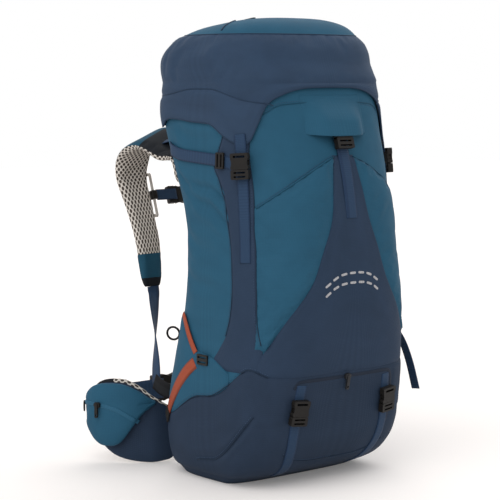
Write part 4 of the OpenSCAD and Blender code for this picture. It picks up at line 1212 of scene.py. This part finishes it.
def strapY(z):
    return backY(z) + strapPad["yoke"] + strapPad["gap"] + strapPad["seat"] * strapPad["thick"]


strapStart = Vector((strapPad["rootX"], strapY(strapPad["bend"]), strapPad["bend"]))
strapKnots = [Vector((strapPad["rootX"], strapY(strapPad["low"]), strapPad["low"])), strapStart]
strapKnots += [strapStart + Vector(p) for p in strapPad["route"]]
strapTable = [(i / (len(strapKnots) - 1), p) for i, p in enumerate(strapKnots)]


def strapAt(s):
    return curveAt(strapTable, s)


def strapHalf(s):
    return strapPad["width"] / 2 * curveAt(strapPad["taper"], s)


def strapAxes(s):
    along = (strapAt(min(s + pathStep, 1)) - strapAt(max(s - pathStep, 0))).normalized()
    across = Vector((1, 0, -curveAt(strapPad["roll"], s))).normalized()
    across = (across - along * across.dot(along)).normalized()
    return along, across, along.cross(across)


def makeShoulderStraps():
    rows, columns, square = strapPad["rows"], strapPad["around"], strapPad["square"]
    axes = [strapAxes(i / rows) for i in range(rows + 1)]
    middle = strapPad["midShare"] * strapPad["width"]
    turns, around = evenTurns(middle, strapPad["thick"] / 2, square, columns)
    size = (around, strapPad["length"])

    def place(u, v):
        across, inward = axes[round(v * rows)][1:]
        end = math.sqrt(min(v / strapPad["end"], (1 - v) / strapPad["end"], 1))
        half = strapHalf(v) * mix(strapPad["endHalf"], 1, end)
        thick = strapPad["thick"] / 2 * mix(strapPad["endThick"], 1, end)
        a, b = roundSection(turns[round(u * columns)], half, thick, square)
        return strapAt(v) + across * a + inward * b

    right = sewnGrid("right_shoulder_pad", columns, rows, place, size, True)
    capEnds(right)

    def choose(face):
        if face.loop_total > 4:
            return 2
        u, v = faceShare(right, face, size)
        outside = math.sin(turns[int(u * columns)]) < strapPad["outside"]
        if v > strapPad["tip"] or v < strapPad["black"] and outside:
            return 2
        # material 3: the sleeve at the lower end, and painted shade on the outer face below the share 'dark'
        if v > strapPad["sleeve"] or v < strapPad["dark"] and outside:
            return 3
        return 0 if outside else 1

    paintFaces(right, choose)
    plain, bare, seam = ({i for face in right.data.polygons if face.material_index == index
                          for i in face.vertices} for index in (0, 1, 2))
    held = (seam & bare) | (bare & plain) | (seam & plain)
    settle(right, lambda vertex: vertex.index in held, **strapPad["settle"])
    dressSides(right, lambda pad: pad, "bag", "teal_nylon",
               [tealNylon, mutedMesh, blackBinding, tealSleeveAndShade], "{}_shoulder_strap")


makeShoulderStraps()
print("shoulder straps sewn")

# Webbing of the harness, the haul loop and the free strap tail
harness = {"wide": 20, "gap": 0.4, "lifterAt": 0.3, "lifterIn": 6, "lifterZ": 574.96, "lifterGap": 3.9,
           "tabRoot": (52, 134, 0.6), "tabWide": 28, "tabZ": 150, "tabOut": 10, "tabBend": 0.4,
           "lowerWide": 25, "lowerLead": 12, "lowerSeat": (1.9, 3, 0), "lowerTwist": 0.85,
           "lowerSteps": 10, "lowerFrom": 0.97, "tabIn": (0, 5, 0), "haulSteps": 10,
           "haulZ": 580.2, "haulHalf": 32, "haulDrop": 40, "haulLean": (0, 0.5, -0.866), "haulGap": 10,
           "tailRoot": (351, 232, offPanel), "tailAcross": (0, -0.9, -0.3),
           "tail": [(0, 0, 0), (6, -4, 8), (20, -10, 8), (32, -17, -14), (44, -25, -54), (54, -32, -104)]}
sideways = Vector((1, 0, 0))


def makeLoadLifters():
    at = harness["lifterAt"]
    top = strapAt(at)
    lift = (strapAt(at + pathStep) - strapAt(at - pathStep)).cross(-sideways).normalized()
    rolled = -strapAxes(at)[2]
    start = top + rolled * (strapPad["thick"] / 2 + harness["gap"])
    seatZ = harness["lifterZ"]
    end = Vector((top.x - harness["lifterIn"], frameY(seatZ) + harness["lifterGap"], seatZ))
    right = webbingBand("right_lifter", [start, mix(start, end, 0.5), end], [rolled, lift, lift],
                        harness["wide"])
    dressBoth(right, "lifter_webbing", "bag", "navy_webbing", [navyWebbing], "load_lifters")


def makeStrapWebbing():
    root = skinPoint(*harness["tabRoot"]) + Vector(harness["tabIn"])
    end = Vector((root.x + harness["tabOut"], backY(harness["tabZ"]) + harness["tabOut"], harness["tabZ"]))
    bend = mix(root, end, harness["tabBend"])
    bend.x = end.x
    right = webbingBand("right_tab", [root, bend, end], [sideways] * 3, harness["tabWide"])
    dressBoth(right, "anchor_tab_webbing", "bag", "black_webbing", [blackWebbing], "anchor_tabs")
    way = (strapAt(1) - strapAt(harness["lowerFrom"])).normalized()
    flat = sideways.cross(way)
    start = strapAt(1) + way * harness["gap"]
    lead = start + way * harness["lowerLead"]
    seat = end - Vector(harness["lowerSeat"])
    shares = [i / harness["lowerSteps"] for i in range(harness["lowerSteps"] + 1)]
    points = [start] + [mix(lead, seat, k) for k in shares]
    outs = [flat] + [mix(flat, sideways, min(k / harness["lowerTwist"], 1)).normalized() for k in shares]
    right = webbingBand("right_strap_web", points, outs, harness["lowerWide"], count=60)
    dressBoth(right, "strap_lower_webbing", "bag", "navy_webbing", [navyWebbing], "strap_webbing")


def makeHaulLoop():
    z, half, drop = harness["haulZ"], harness["haulHalf"], harness["haulDrop"]
    lean = Vector(harness["haulLean"])
    y = skinRing(z)[2] + backFrame["gap"] + harness["haulGap"]
    steps = harness["haulSteps"]
    turns = [math.radians(180 - 180 / steps * i) for i in range(steps + 1)]
    points = [Vector((half * math.cos(a), y, z)) + lean * drop * math.sin(a) for a in turns]
    outs = [sideways * math.cos(a) + lean * math.sin(a) for a in turns]
    haul = webbingBand("haul_webbing", points, outs, harness["wide"])
    dress(haul, "haul_loop", "black_webbing", [blackWebbing], "haul_loop")


def makeStrapTail():
    root = skinPoint(*harness["tailRoot"])
    points = [root + Vector(p) for p in harness["tail"]]
    outs = [Vector(harness["tailAcross"]).cross(wayAt(points, i)).normalized() for i in range(len(points))]
    tail = webbingBand("strap_tail_webbing", points, outs, harness["wide"], count=60)
    dress(tail, "bag", "navy_webbing", [navyWebbing], "strap_tail")


makeLoadLifters()
makeStrapWebbing()
makeHaulLoop()
makeStrapTail()

# Sternum strap: webbing on each side of its buckle, and the clips that run on the rails
sternum = {"wide": 20, "railOff": 6.8, "clipDeep": 6.4, "clear": 0.4, "cut": 0.2, "clipRadius": 0.7,
           "clipAngle": 40}


def makeSternum():
    railX = min(strapAt(s).x - strapHalf(s) for s in strapPad["rails"]) - sternum["railOff"]
    a, b = (Vector((railX, strapAt(s).y, strapAt(s).z)) for s in strapPad["rails"])
    out = sideways.cross((b - a).normalized()).normalized()
    inner = railX - sternum["clipDeep"]
    centre = (a + b) / 2
    centre.x = 0
    bands = [webbingBand(name, [centre + sideways * start, centre + sideways * stop], [out, out],
                         sternum["wide"], count=12)
             for name, start, stop in (("sternum_right", inner, strapSet["tail20"]),
                                       ("sternum_left", -inner, -sternum["clear"]))]
    dress(joinAll(bands, "sternum_webbing"), "sternum", "navy_webbing", [navyWebbing], "sternum_strap")
    clips = copyOf(cad["sternum_strap"], "sternum_clips")
    clips.parent = None
    for key in list(clips.keys()):
        del clips[key]
    clips.hide_render = clips.hide_viewport = False
    pickOnly(clips)
    bpy.ops.object.mode_set(mode="EDIT")
    bpy.ops.mesh.select_all(action="SELECT")
    bpy.ops.mesh.remove_doubles(threshold=solidGap)
    bpy.ops.mesh.select_all(action="DESELECT")
    bpy.ops.object.mode_set(mode="OBJECT")
    for vertex in clips.data.vertices:
        vertex.select = abs(vertex.co.x) / mm < inner + sternum["cut"]  # the webbing between the clips goes
    bpy.ops.object.mode_set(mode="EDIT")
    bpy.ops.mesh.delete(type="VERT")
    bpy.ops.object.mode_set(mode="OBJECT")
    clips.data.materials.clear()
    applyModifier(clips, "BEVEL", width=sternum["clipRadius"] * mm, segments=2, limit_method="ANGLE",
                  angle_limit=math.radians(sternum["clipAngle"]))
    dress(clips, "sternum", "black_acetal", [blackAcetal])


makeSternum()

# Hip belt wings: curved pads that taper to their tips, each with a zipped pouch
hipWing = {"hinge": (100.5, 180.658), "thick": 15, "square": 3.4, "around": 96, "rows": 90, "length": 178,
           "route": [(0, Vector((0, 0))), (0.22, Vector((42, 14))), (0.52, Vector((80, 52))),
                     (0.83, Vector((94, 96))), (1, Vector((96, 118)))],
           "top": [(0, 94), (0.22, 122), (0.35, 140), (0.5, 150), (0.8, 143), (1, 118)],
           "low": [(0, 6), (0.22, 1), (0.5, 8), (0.72, 24), (0.86, 46), (1, 78)],
           "midHalf": 62, "end": 0.06, "endHalf": 0.86, "endThick": 0.5, "outside": 0.1, "rim": 0.88,
           "rimDark": (0.6, 0.9), "tipDark": 0.95}
beltPouch = {"from": 0.19, "to": 0.975, "seat": 0.2, "below": 6, "square": 2.6, "around": 72, "rows": 70,
             "midHalf": (50, 12), "length": 140, "sewn": 2.5,
             "thick": [(0.19, 4), (0.3, 12), (0.45, 19), (0.6, 21.5), (0.76, 21.5), (0.88, 18), (0.95, 13),
                       (0.975, 8)],
             "low": [(0.19, 108), (0.31, 86), (0.42, 57), (0.51, 38), (0.62, 33), (0.73, 36), (0.85, 51),
                     (0.93, 67), (0.975, 80)],
             "zip": [(0.96, 104), (0.87, 107), (0.77, 107), (0.68, 105.5), (0.6, 104), (0.5, 98), (0.4, 86),
                     (0.33, 76)],
             "zipWide": 8, "zipThick": 0.7, "zipLift": 0.1, "pullCord": 1.3, "pullOff": 1.2,
             "settle": {"pressure": 4.0, "growth": 0.02, "cap": 3.0},
             "pull": [(0, 0), (3, 3), (6, 1), (8, -5), (7, -12), (4, -15), (1, -12), (0, -5), (0, 0)]}
beltWeb = {"wide": 38, "bends": [(0, 0.4), (-4, 12), (-18, 26), (-44, 37), (-72, 43), (-92, 44)],
           "right": 29.3, "left": 0.4}
upwards = Vector((0, 0, 1))


def wingAt(s):
    p = curveAt(hipWing["route"], s)
    return Vector((hipWing["hinge"][0] + p.x, hipWing["hinge"][1] + p.y,
                   (curveAt(hipWing["top"], s) + curveAt(hipWing["low"], s)) / 2))


def wingHalf(s):
    return (curveAt(hipWing["top"], s) - curveAt(hipWing["low"], s)) / 2


def wingOut(s):
    way = wingAt(min(s + pathStep, 1)) - wingAt(max(s - pathStep, 0))
    return Vector((way.x, way.y, 0)).normalized().cross(upwards)


def makeHipPads():
    rows, columns = hipWing["rows"], hipWing["around"]
    turns, around = evenTurns(hipWing["midHalf"], hipWing["thick"] / 2, hipWing["square"], columns)
    size = (around, hipWing["length"])

    def place(u, v):
        end = math.sqrt(min(v / hipWing["end"], (1 - v) / hipWing["end"], 1))
        half = wingHalf(v) * mix(hipWing["endHalf"], 1, end)
        thick = hipWing["thick"] / 2 * mix(hipWing["endThick"], 1, end)
        up, out = roundSection(turns[round(u * columns)], half, thick, hipWing["square"])
        return wingAt(v) + upwards * up + wingOut(v) * out

    right = sewnGrid("right_hip_pad", columns, rows, place, size, True)
    capEnds(right)

    def choose(face):
        if face.loop_total > 4:
            return 2
        u, s = faceShare(right, face, size)
        q = turns[int(u * columns)]
        onRim = math.cos(q) > hipWing["rim"]
        if onRim or math.sin(q) < hipWing["outside"]:
            dark = onRim and hipWing["rimDark"][0] < s < hipWing["rimDark"][1]
            return 2 if dark or s > hipWing["tipDark"] else 1
        return 0

    paintFaces(right, choose)
    dressSides(right, lambda pad: pad, "belt_{}", "navy_nylon",
               [baseNylon, mutedMesh, blackBinding], "{}_belt_wing")


def makeBeltPouches():
    columns, square = beltPouch["around"], beltPouch["square"]
    turns, around = evenTurns(*beltPouch["midHalf"], square, columns)
    face = hipWing["thick"] / 2

    def place(u, v):
        s = mix(beltPouch["from"], beltPouch["to"], v)
        low, top = curveAt(beltPouch["low"], s), curveAt(hipWing["top"], s) - beltPouch["below"]
        up, out = roundSection(turns[round(u * columns)], (top - low) / 2, 1, square)
        thick = curveAt(beltPouch["thick"], s) / 2
        p = wingAt(s) + wingOut(s) * (face + beltPouch["seat"] + thick * (1 + out))
        return Vector((p.x, p.y, (low + top) / 2 + up))

    def sewnOn(vertex):
        spot = vertex.co / mm
        s = min(((wingAt(k / 60).xy - spot.xy).length, k / 60) for k in range(10, 61))[1]
        return (spot - wingAt(s)).dot(wingOut(s)) < face + beltPouch["sewn"]

    right = sewnGrid("right_belt_pouch", columns, beltPouch["rows"], place,
                     (around, beltPouch["length"]), True)
    capEnds(right)
    settle(right, sewnOn, **beltPouch["settle"])
    dressSides(right, lambda pad: pad, "belt_{}", "teal_nylon", [tealNylon],
               "{}_belt_pocket")


# The pouch's zip, laid on its cloth, with a loop of cord to pull it
def makePouchZips():
    line = smoothLine(beltPouch["zip"], 6)
    outs = [wingOut(k.x) for k in line]
    inside = [Vector((*wingAt(k.x).xy, k.y)) for k in line]
    points = layPath(clothTree(["right_belt_pouch"]), inside, outs, beltPouch["zipLift"])
    tape = webbingBand("right_pouch_zip", points, outs, beltPouch["zipWide"], beltPouch["zipThick"],
                       count=48)
    tip = points[0] + outs[0] * beltPouch["pullOff"]
    way = (points[0] - points[4]).normalized()
    loop = [tip + way * x + upwards * z for x, z in beltPouch["pull"]]
    pull = pipeAlong("right_zip_pull", *smoothPath(loop, [outs[0]] * len(loop), 40), beltPouch["pullCord"])
    tape.data.materials.append(tealZip)
    pull.data.materials.append(braid)
    dressSides(joinAll([tape, pull], "right_pouch_zip"), lambda piece: None, "belt_{}", "zip_tape", [])


def makeBeltWebbing():
    tip = wingAt(1)
    for side in ("right", "left"):
        points = [tip + Vector((x, y, 0)) for x, y in beltWeb["bends"]]
        points.append(Vector((beltWeb[side], points[-1].y, tip.z)))
        outs = [wayAt(points, i).cross(upwards).normalized() for i in range(len(points))]
        band = webbingBand(side + "_belt_web", points, outs, beltWeb["wide"], count=60)
        if side == "left":
            mirrorMesh(band)
        dress(band, "belt_" + side, "navy_webbing", [wideWebbing], side + "_belt_webbing")


makeHipPads()
makeBeltPouches()
makePouchZips()
makeBeltWebbing()
print("hip belt sewn")

# Lid fittings: rear straps that are sewn to the bag, small loops and the zip on top
lidFittings = {"strapX": 62, "wide": 20, "bendY": 182, "bendFrom": 566, "bendTo": 604,
               "strap": [(648, 5.4), (608, 5.4), (597, 5.0), (584, 2.6), (572, 1.2), (560, 1.0)],
               "loop": [(56, 0.4), (60, 3), (64, 3.8), (68, 3), (72, 0.4)], "loopShare": 0.83, "loopWide": 11,
               "loopOut": (0.1, 0.6, 0.8), "zipX": (-56, -20, 20, 56), "zipWide": 9}


def makeLidFittings():
    wide, strap = lidFittings["wide"], lidFittings["strap"]
    right = webbingBand("right_rear_strap",
                        [Vector((lidFittings["strapX"], skinPoint(90, z).y + off, z)) for z, off in strap],
                        [Vector((0, 1, 0))] * len(strap), wide, count=44)
    start, end = (Vector((0, lidFittings["bendY"], lidFittings[key])) * mm
                  for key in ("bendFrom", "bendTo"))
    dressBoth(right, "lid_rear_webbing", ("bag", "lid", start, end), "navy_webbing", [navyWebbing],
              "lid_rear_straps")
    out = Vector(lidFittings["loopOut"]).normalized()
    loop = [crownPoint(t, lidFittings["loopShare"]) + out * lift for t, lift in lidFittings["loop"]]
    right = webbingBand("right_lid_loop", loop, [out] * len(loop), lidFittings["loopWide"], count=20)
    dressBoth(right, "lid_loop_webbing", "lid", "black_webbing", [blackWebbing], "lid_loops")
    slope = Vector((0, lid["tilt"] / lid["reach"], 1)).normalized()
    top = skin["height"] + lid["height"] - lidSlope(lid["zipY"])
    ends = [Vector((x, lid["zipY"], top)) + slope for x in lidFittings["zipX"]]
    zipBand = webbingBand("lid_zip_tape", ends, [slope] * len(ends), lidFittings["zipWide"])
    dress(zipBand, "lid", "zip_tape", [zipCoil], "lid_zip")


makeLidFittings()

# Seams: each is a line of (angle, height) on the skin, laid on the cloth, with piping and a row of stitches
bagCloth = ["bag_shell", "front_pocket_centre", "front_pocket_left", "front_pocket_right", "base_boot_cloth",
            "left_corner_cloth", "right_corner_cloth", "left_side_pocket_cloth", "right_side_pocket_cloth"]
# The piping's darker tone is painted shade along the seams
tealSeams = {
    "arch": [(223.5, 620), (235, 634), (246.5, 638), (259.5, 640), (270, 640.5)],
    "pocketTop": [(212, 469), (226, 490), (240, 511), (254, 532), (266, 550)],
}
navySeams = {
    "cornerRear": [(188.5, 258), (192, 292), (194, 336), (194, 398), (192, 444), (189.5, 484), (185.5, 514),
                   (182.5, 534), (185, 558), (189, 584)],
    "cornerFront": [(216, 248), (212, 284), (211, 338), (211, 400), (210, 436), (210.5, 492), (209, 548),
                    (210.5, 582)],
    "boot": [(154, 107), (160, 112), (166, 120), (172, 132), (178, 147), (184, 163), (191, 180), (200, 199),
             (208, 207), (224, 196)],
    "bottom": [(246, 62), (252, 53), (258, 48), (264, 44.5), (270, 43)],
    "bootSide": [(178, 38), (188, 64), (198, 90), (207, 112), (215, 130)],
}
sewing = {"piping": 0.9, "stitch": (2.6, 0.8, 0.6), "stitchRound": 0.28, "pitch": 4.4, "aside": 3.4,
          "pipeLift": 0.2, "stitchLift": 0.15}
baseZip = {"wide": 6, "thick": 0.9, "lift": 0.1,
           "line": [(286, 58), (287, 74), (292, 100), (293.5, 140), (293, 170), (291, 182), (287, 186),
                    (278, 186), (266, 186), (253, 186), (249, 183), (247, 174)]}


# Copies of a small piece along a path, each with its own mesh
def setAlong(model, points, outs, pitch, start=0.0):
    copies, run, due = [], 0.0, start
    for i in range(len(points) - 1):
        step = points[i + 1] - points[i]
        while due < run + step.length:
            along = step.normalized()
            side = outs[i].cross(along).normalized()
            copy = copyOf(model, model.name)
            copy.data.transform(Matrix.Translation((points[i] + along * (due - run)) * mm)
                                @ turnTo(along, side, along.cross(side)))
            copies.append(copy)
            due += pitch
        run += step.length
    return copies


def makeSeams(tree):
    stitch = bevelBox((0, 0, 0), sewing["stitch"], sewing["stitchRound"], 1)
    stitch.data.materials.append(navyThread)
    pipes, stitches = {}, []
    for colour, seams in (("teal", tealSeams), ("navy", navySeams)):
        pipes[colour] = []
        for left in seams.values():
            for knots in (left, [(540 - t, z) for t, z in left]):
                points, outs = seamLine(knots)
                laid = layPath(tree, points, outs, sewing["pipeLift"])
                pipes[colour].append(pipeAlong("seam", laid, outs, sewing["piping"]))
                beside = [p + out.cross(wayAt(points, i).normalized()) * sewing["aside"]
                          for i, (p, out) in enumerate(zip(points, outs))]
                laid = layPath(tree, beside, outs, sewing["stitchLift"])
                stitches += setAlong(stitch, laid, outs, sewing["pitch"])
    dress(joinAll(pipes["teal"], "teal_seam_piping"), "bag", "teal_nylon", [tealPipingShade])
    dress(joinAll(pipes["navy"], "navy_seam_piping"), "bag", "navy_nylon", [navyPipingShade])
    dress(joinAll(stitches, "seam_stitches"), "bag", "navy_webbing", [])
    bpy.data.objects.remove(stitch)


def makeBaseZip(tree):
    points, outs = seamLine(baseZip["line"])
    laid = layPath(tree, points, outs, baseZip["lift"])
    tape = webbingBand("base_zip_tape", laid, outs, baseZip["wide"], baseZip["thick"], count=150)
    dress(tape, "bag", "zip_tape", [navyZip], "base_zip")


bagTree = clothTree(bagCloth)
makeSeams(bagTree)
makeBaseZip(bagTree)
print("seams piped and stitched")

# Reflective dashes on the front pocket: two staggered rows along an arc, each (half its turn, height, start)
dashes = {"long": 13, "wide": 4, "thick": 0.5, "pitch": 19, "rows": [(12, 360, 0), (13.5, 344, 9.5)],
          "bow": 0.12, "lift": 0.15}


def makeDashes(tree):
    pickOnly()
    bpy.ops.mesh.primitive_cylinder_add(vertices=16, radius=0.5, depth=1)
    dash = bpy.context.object
    half = (dashes["long"] - dashes["wide"]) / 2
    for vertex in dash.data.vertices:
        x, y = vertex.co.xy * dashes["wide"]
        stretched = x + math.copysign(half, x) if abs(x) > 0.01 else x
        vertex.co = (stretched, y, vertex.co.z * dashes["thick"])
    dash.data.transform(Matrix.Scale(mm, 4))
    dash.data.materials.append(bead)
    copies = []
    for half, level, start in dashes["rows"]:
        turns = [half * k for k in (-1, -0.5, 0, 0.5, 1)]
        points, outs = seamLine([(270 + turn, level - dashes["bow"] * turn ** 2) for turn in turns])
        laid = layPath(tree, points, outs, dashes["lift"])
        copies += setAlong(dash, laid, outs, dashes["pitch"], start)
    dress(joinAll(copies, "reflective_dashes"), "bag", "navy_nylon", [])
    bpy.data.objects.remove(dash)


makeDashes(bagTree)

# Lid seams: a bound lower edge, a pinched seam round the sides, the seam of the top panel and a dart on it
# The lid's piping is a shade darker than the lid: painted shade along its edge and seams
lidSewing = {"edgeOff": 4.2, "edge": 1.3, "seamFrom": -52, "seamTo": 233, "seamOff": 5, "seam": 0.8,
             "cap": 0.9, "dartT": 188, "dartFrom": 0.79, "dartTo": 0.955, "dartSteps": 16, "dart": 1.5,
             "capTilt": 90, "seamLift": 0.1, "capLift": 0.2, "dartLift": 0.3}


def capOuts(points):
    middle = lid["mid"] + lid["capBack"]
    return [Vector((p.x, p.y - middle, lidSewing["capTilt"])).normalized() for p in points]


def makeLidSeams():
    tree = clothTree(["lid_pocket"])
    places = [(t, lidLow(t)) for t in range(0, 361, 2)]
    pipes = [pipeAlong("lid_edge", [skinPoint(*place, lidSewing["edgeOff"]) for place in places],
                       [skinOut(*place) for place in places], lidSewing["edge"])]
    places = [(t, lidSeam(t % 360)) for t in range(lidSewing["seamFrom"], lidSewing["seamTo"], 2)]
    points = [skinPoint(*place, lidSewing["seamOff"]) for place in places]
    outs = [skinOut(*place) for place in places]
    laid = layPath(tree, points, outs, lidSewing["seamLift"])
    pipes.append(pipeAlong("lid_seam", laid, outs, lidSewing["seam"]))
    ring = [crownPoint(t, capShare(t)) for t in range(0, 361, 3)]
    laid = layPath(tree, ring, capOuts(ring), lidSewing["capLift"])
    pipes.append(pipeAlong("lid_cap_seam", laid, capOuts(ring), lidSewing["cap"]))
    steps = lidSewing["dartSteps"]
    dart = [crownPoint(lidSewing["dartT"], mix(lidSewing["dartFrom"], lidSewing["dartTo"], i / steps))
            for i in range(steps + 1)]
    laid = layPath(tree, dart, capOuts(dart), lidSewing["dartLift"])
    pipes.append(pipeAlong("lid_dart", laid, capOuts(dart), lidSewing["dart"]))
    dress(joinAll(pipes, "lid_seam_piping"), "lid", "navy_nylon", [lidPipingShade])


makeLidSeams()
print("lid seams piped")

# Extension collar: a gathered sleeve that hangs inside the mouth, with a draw hem
collarCloth = {"off": -6.6, "height": 66, "top": 668, "gathers": 46, "deep": 1.6, "cells": (276, 18),
               "size": (1050, 66), "flat": (1250, 70), "thick": 0.8, "wander": (1.3, 9), "fade": 0.7}


def makeCollar():
    def place(u, v):
        z = collarCloth["top"] - collarCloth["height"] * (1 - v)
        far, often = collarCloth["wander"]
        wave = math.sin(2 * math.pi * collarCloth["gathers"] * u + far * math.sin(often * u))
        gather = collarCloth["deep"] * wave * (1 - v) ** collarCloth["fade"]
        return skinPoint(360 * u, z, collarCloth["off"] + gather)

    collar = sewnGrid("collar_cloth", *collarCloth["cells"], place, collarCloth["size"], True)
    sheetOf(collar, *collarCloth["flat"], "gathered")
    applyModifier(collar, "SOLIDIFY", thickness=collarCloth["thick"] * mm, offset=-1)
    dress(collar, "bag", "navy_nylon", [navyNylon], "extension_collar")


makeCollar()

# Elastic loop with its sleeve on the left rear edge
poleLoop = {"at": (136, 240), "off": 0.6, "radius": 11, "cord": 1.9, "ringCells": (12, 64),
            "ringSize": (9, 70), "sleeveR": 4, "sleeveL": 16, "sleeveCells": (24, 20),
            "sleeveSize": (25, 16), "sleevePower": 8, "sleeveTip": 0.02}


def makePoleLoop():
    base = skinPoint(*poleLoop["at"], poleLoop["off"])
    out, up = skinOut(*poleLoop["at"]), skinUp(*poleLoop["at"]).normalized()
    side = up.cross(out)
    cord, sleeve = poleLoop["cord"], poleLoop["sleeveR"]
    centre = base + out * (2 * sleeve + poleLoop["radius"] - cord)

    def placeRing(u, v):
        a, q = 2 * math.pi * v, 2 * math.pi * u
        way = out * math.cos(a) + up * math.sin(a)
        return centre + way * (poleLoop["radius"] + cord * math.cos(q)) + side * (cord * math.sin(q))

    def placeSleeve(u, v):
        q = 2 * math.pi * u
        rounded = math.sqrt(max(1 - abs(2 * v - 1) ** poleLoop["sleevePower"], poleLoop["sleeveTip"]))
        return (base + out * sleeve + up * (poleLoop["sleeveL"] * (v - 0.5))
                + (out * math.cos(q) + side * math.sin(q)) * sleeve * rounded)

    ring = sewnGrid("pole_ring", *poleLoop["ringCells"], placeRing, poleLoop["ringSize"], True)
    tube = sewnGrid("pole_sleeve", *poleLoop["sleeveCells"], placeSleeve, poleLoop["sleeveSize"], True)
    capEnds(tube)
    dress(joinAll([ring, tube], "pole_loop_elastic"), "bag", "black_webbing", [braid], "pole_loop")


makePoleLoop()

# Carried-over hard parts get their real finish, and the moulded and cast ones a small radius
mouldedEdge = {"radius": 0.6, "angle": 50}
hardParts = [
    (blackAcetal, ["collar_cord_lock", "cord_lock_button", "ladder_locks", "sternum_socket", "sternum_plug",
                   "belt_socket", "belt_plug", "lid_sockets", "left_lid_plug", "right_lid_plug",
                   "front_sockets", "front_plug", "left_pad_plug", "right_pad_plug",
                   "left_belt_zip_slider", "right_belt_zip_slider"]),
    (railAcetal, ["sternum_rails"]),
    (zincPaint, ["base_zip_slider", "lid_zip_slider"]),
    (frameAlloy, ["left_frame_stay", "right_frame_stay", "frame_top_bow", "frame_cross_bars"]),
]


def finishHardParts():
    for material, names in hardParts:
        for name in names:
            node = cad[name]
            node.data.materials.clear()
            node.data.materials.append(material)
            weld = node.modifiers.new("weld", "WELD")
            weld.merge_threshold = solidGap
            if material is frameAlloy:
                continue
            bevel = node.modifiers.new("moulded edge", "BEVEL")
            bevel.width = mouldedEdge["radius"] * mm
            bevel.segments = 2
            bevel.limit_method = "ANGLE"
            bevel.angle_limit = math.radians(mouldedEdge["angle"])


finishHardParts()
print("hard parts finished")
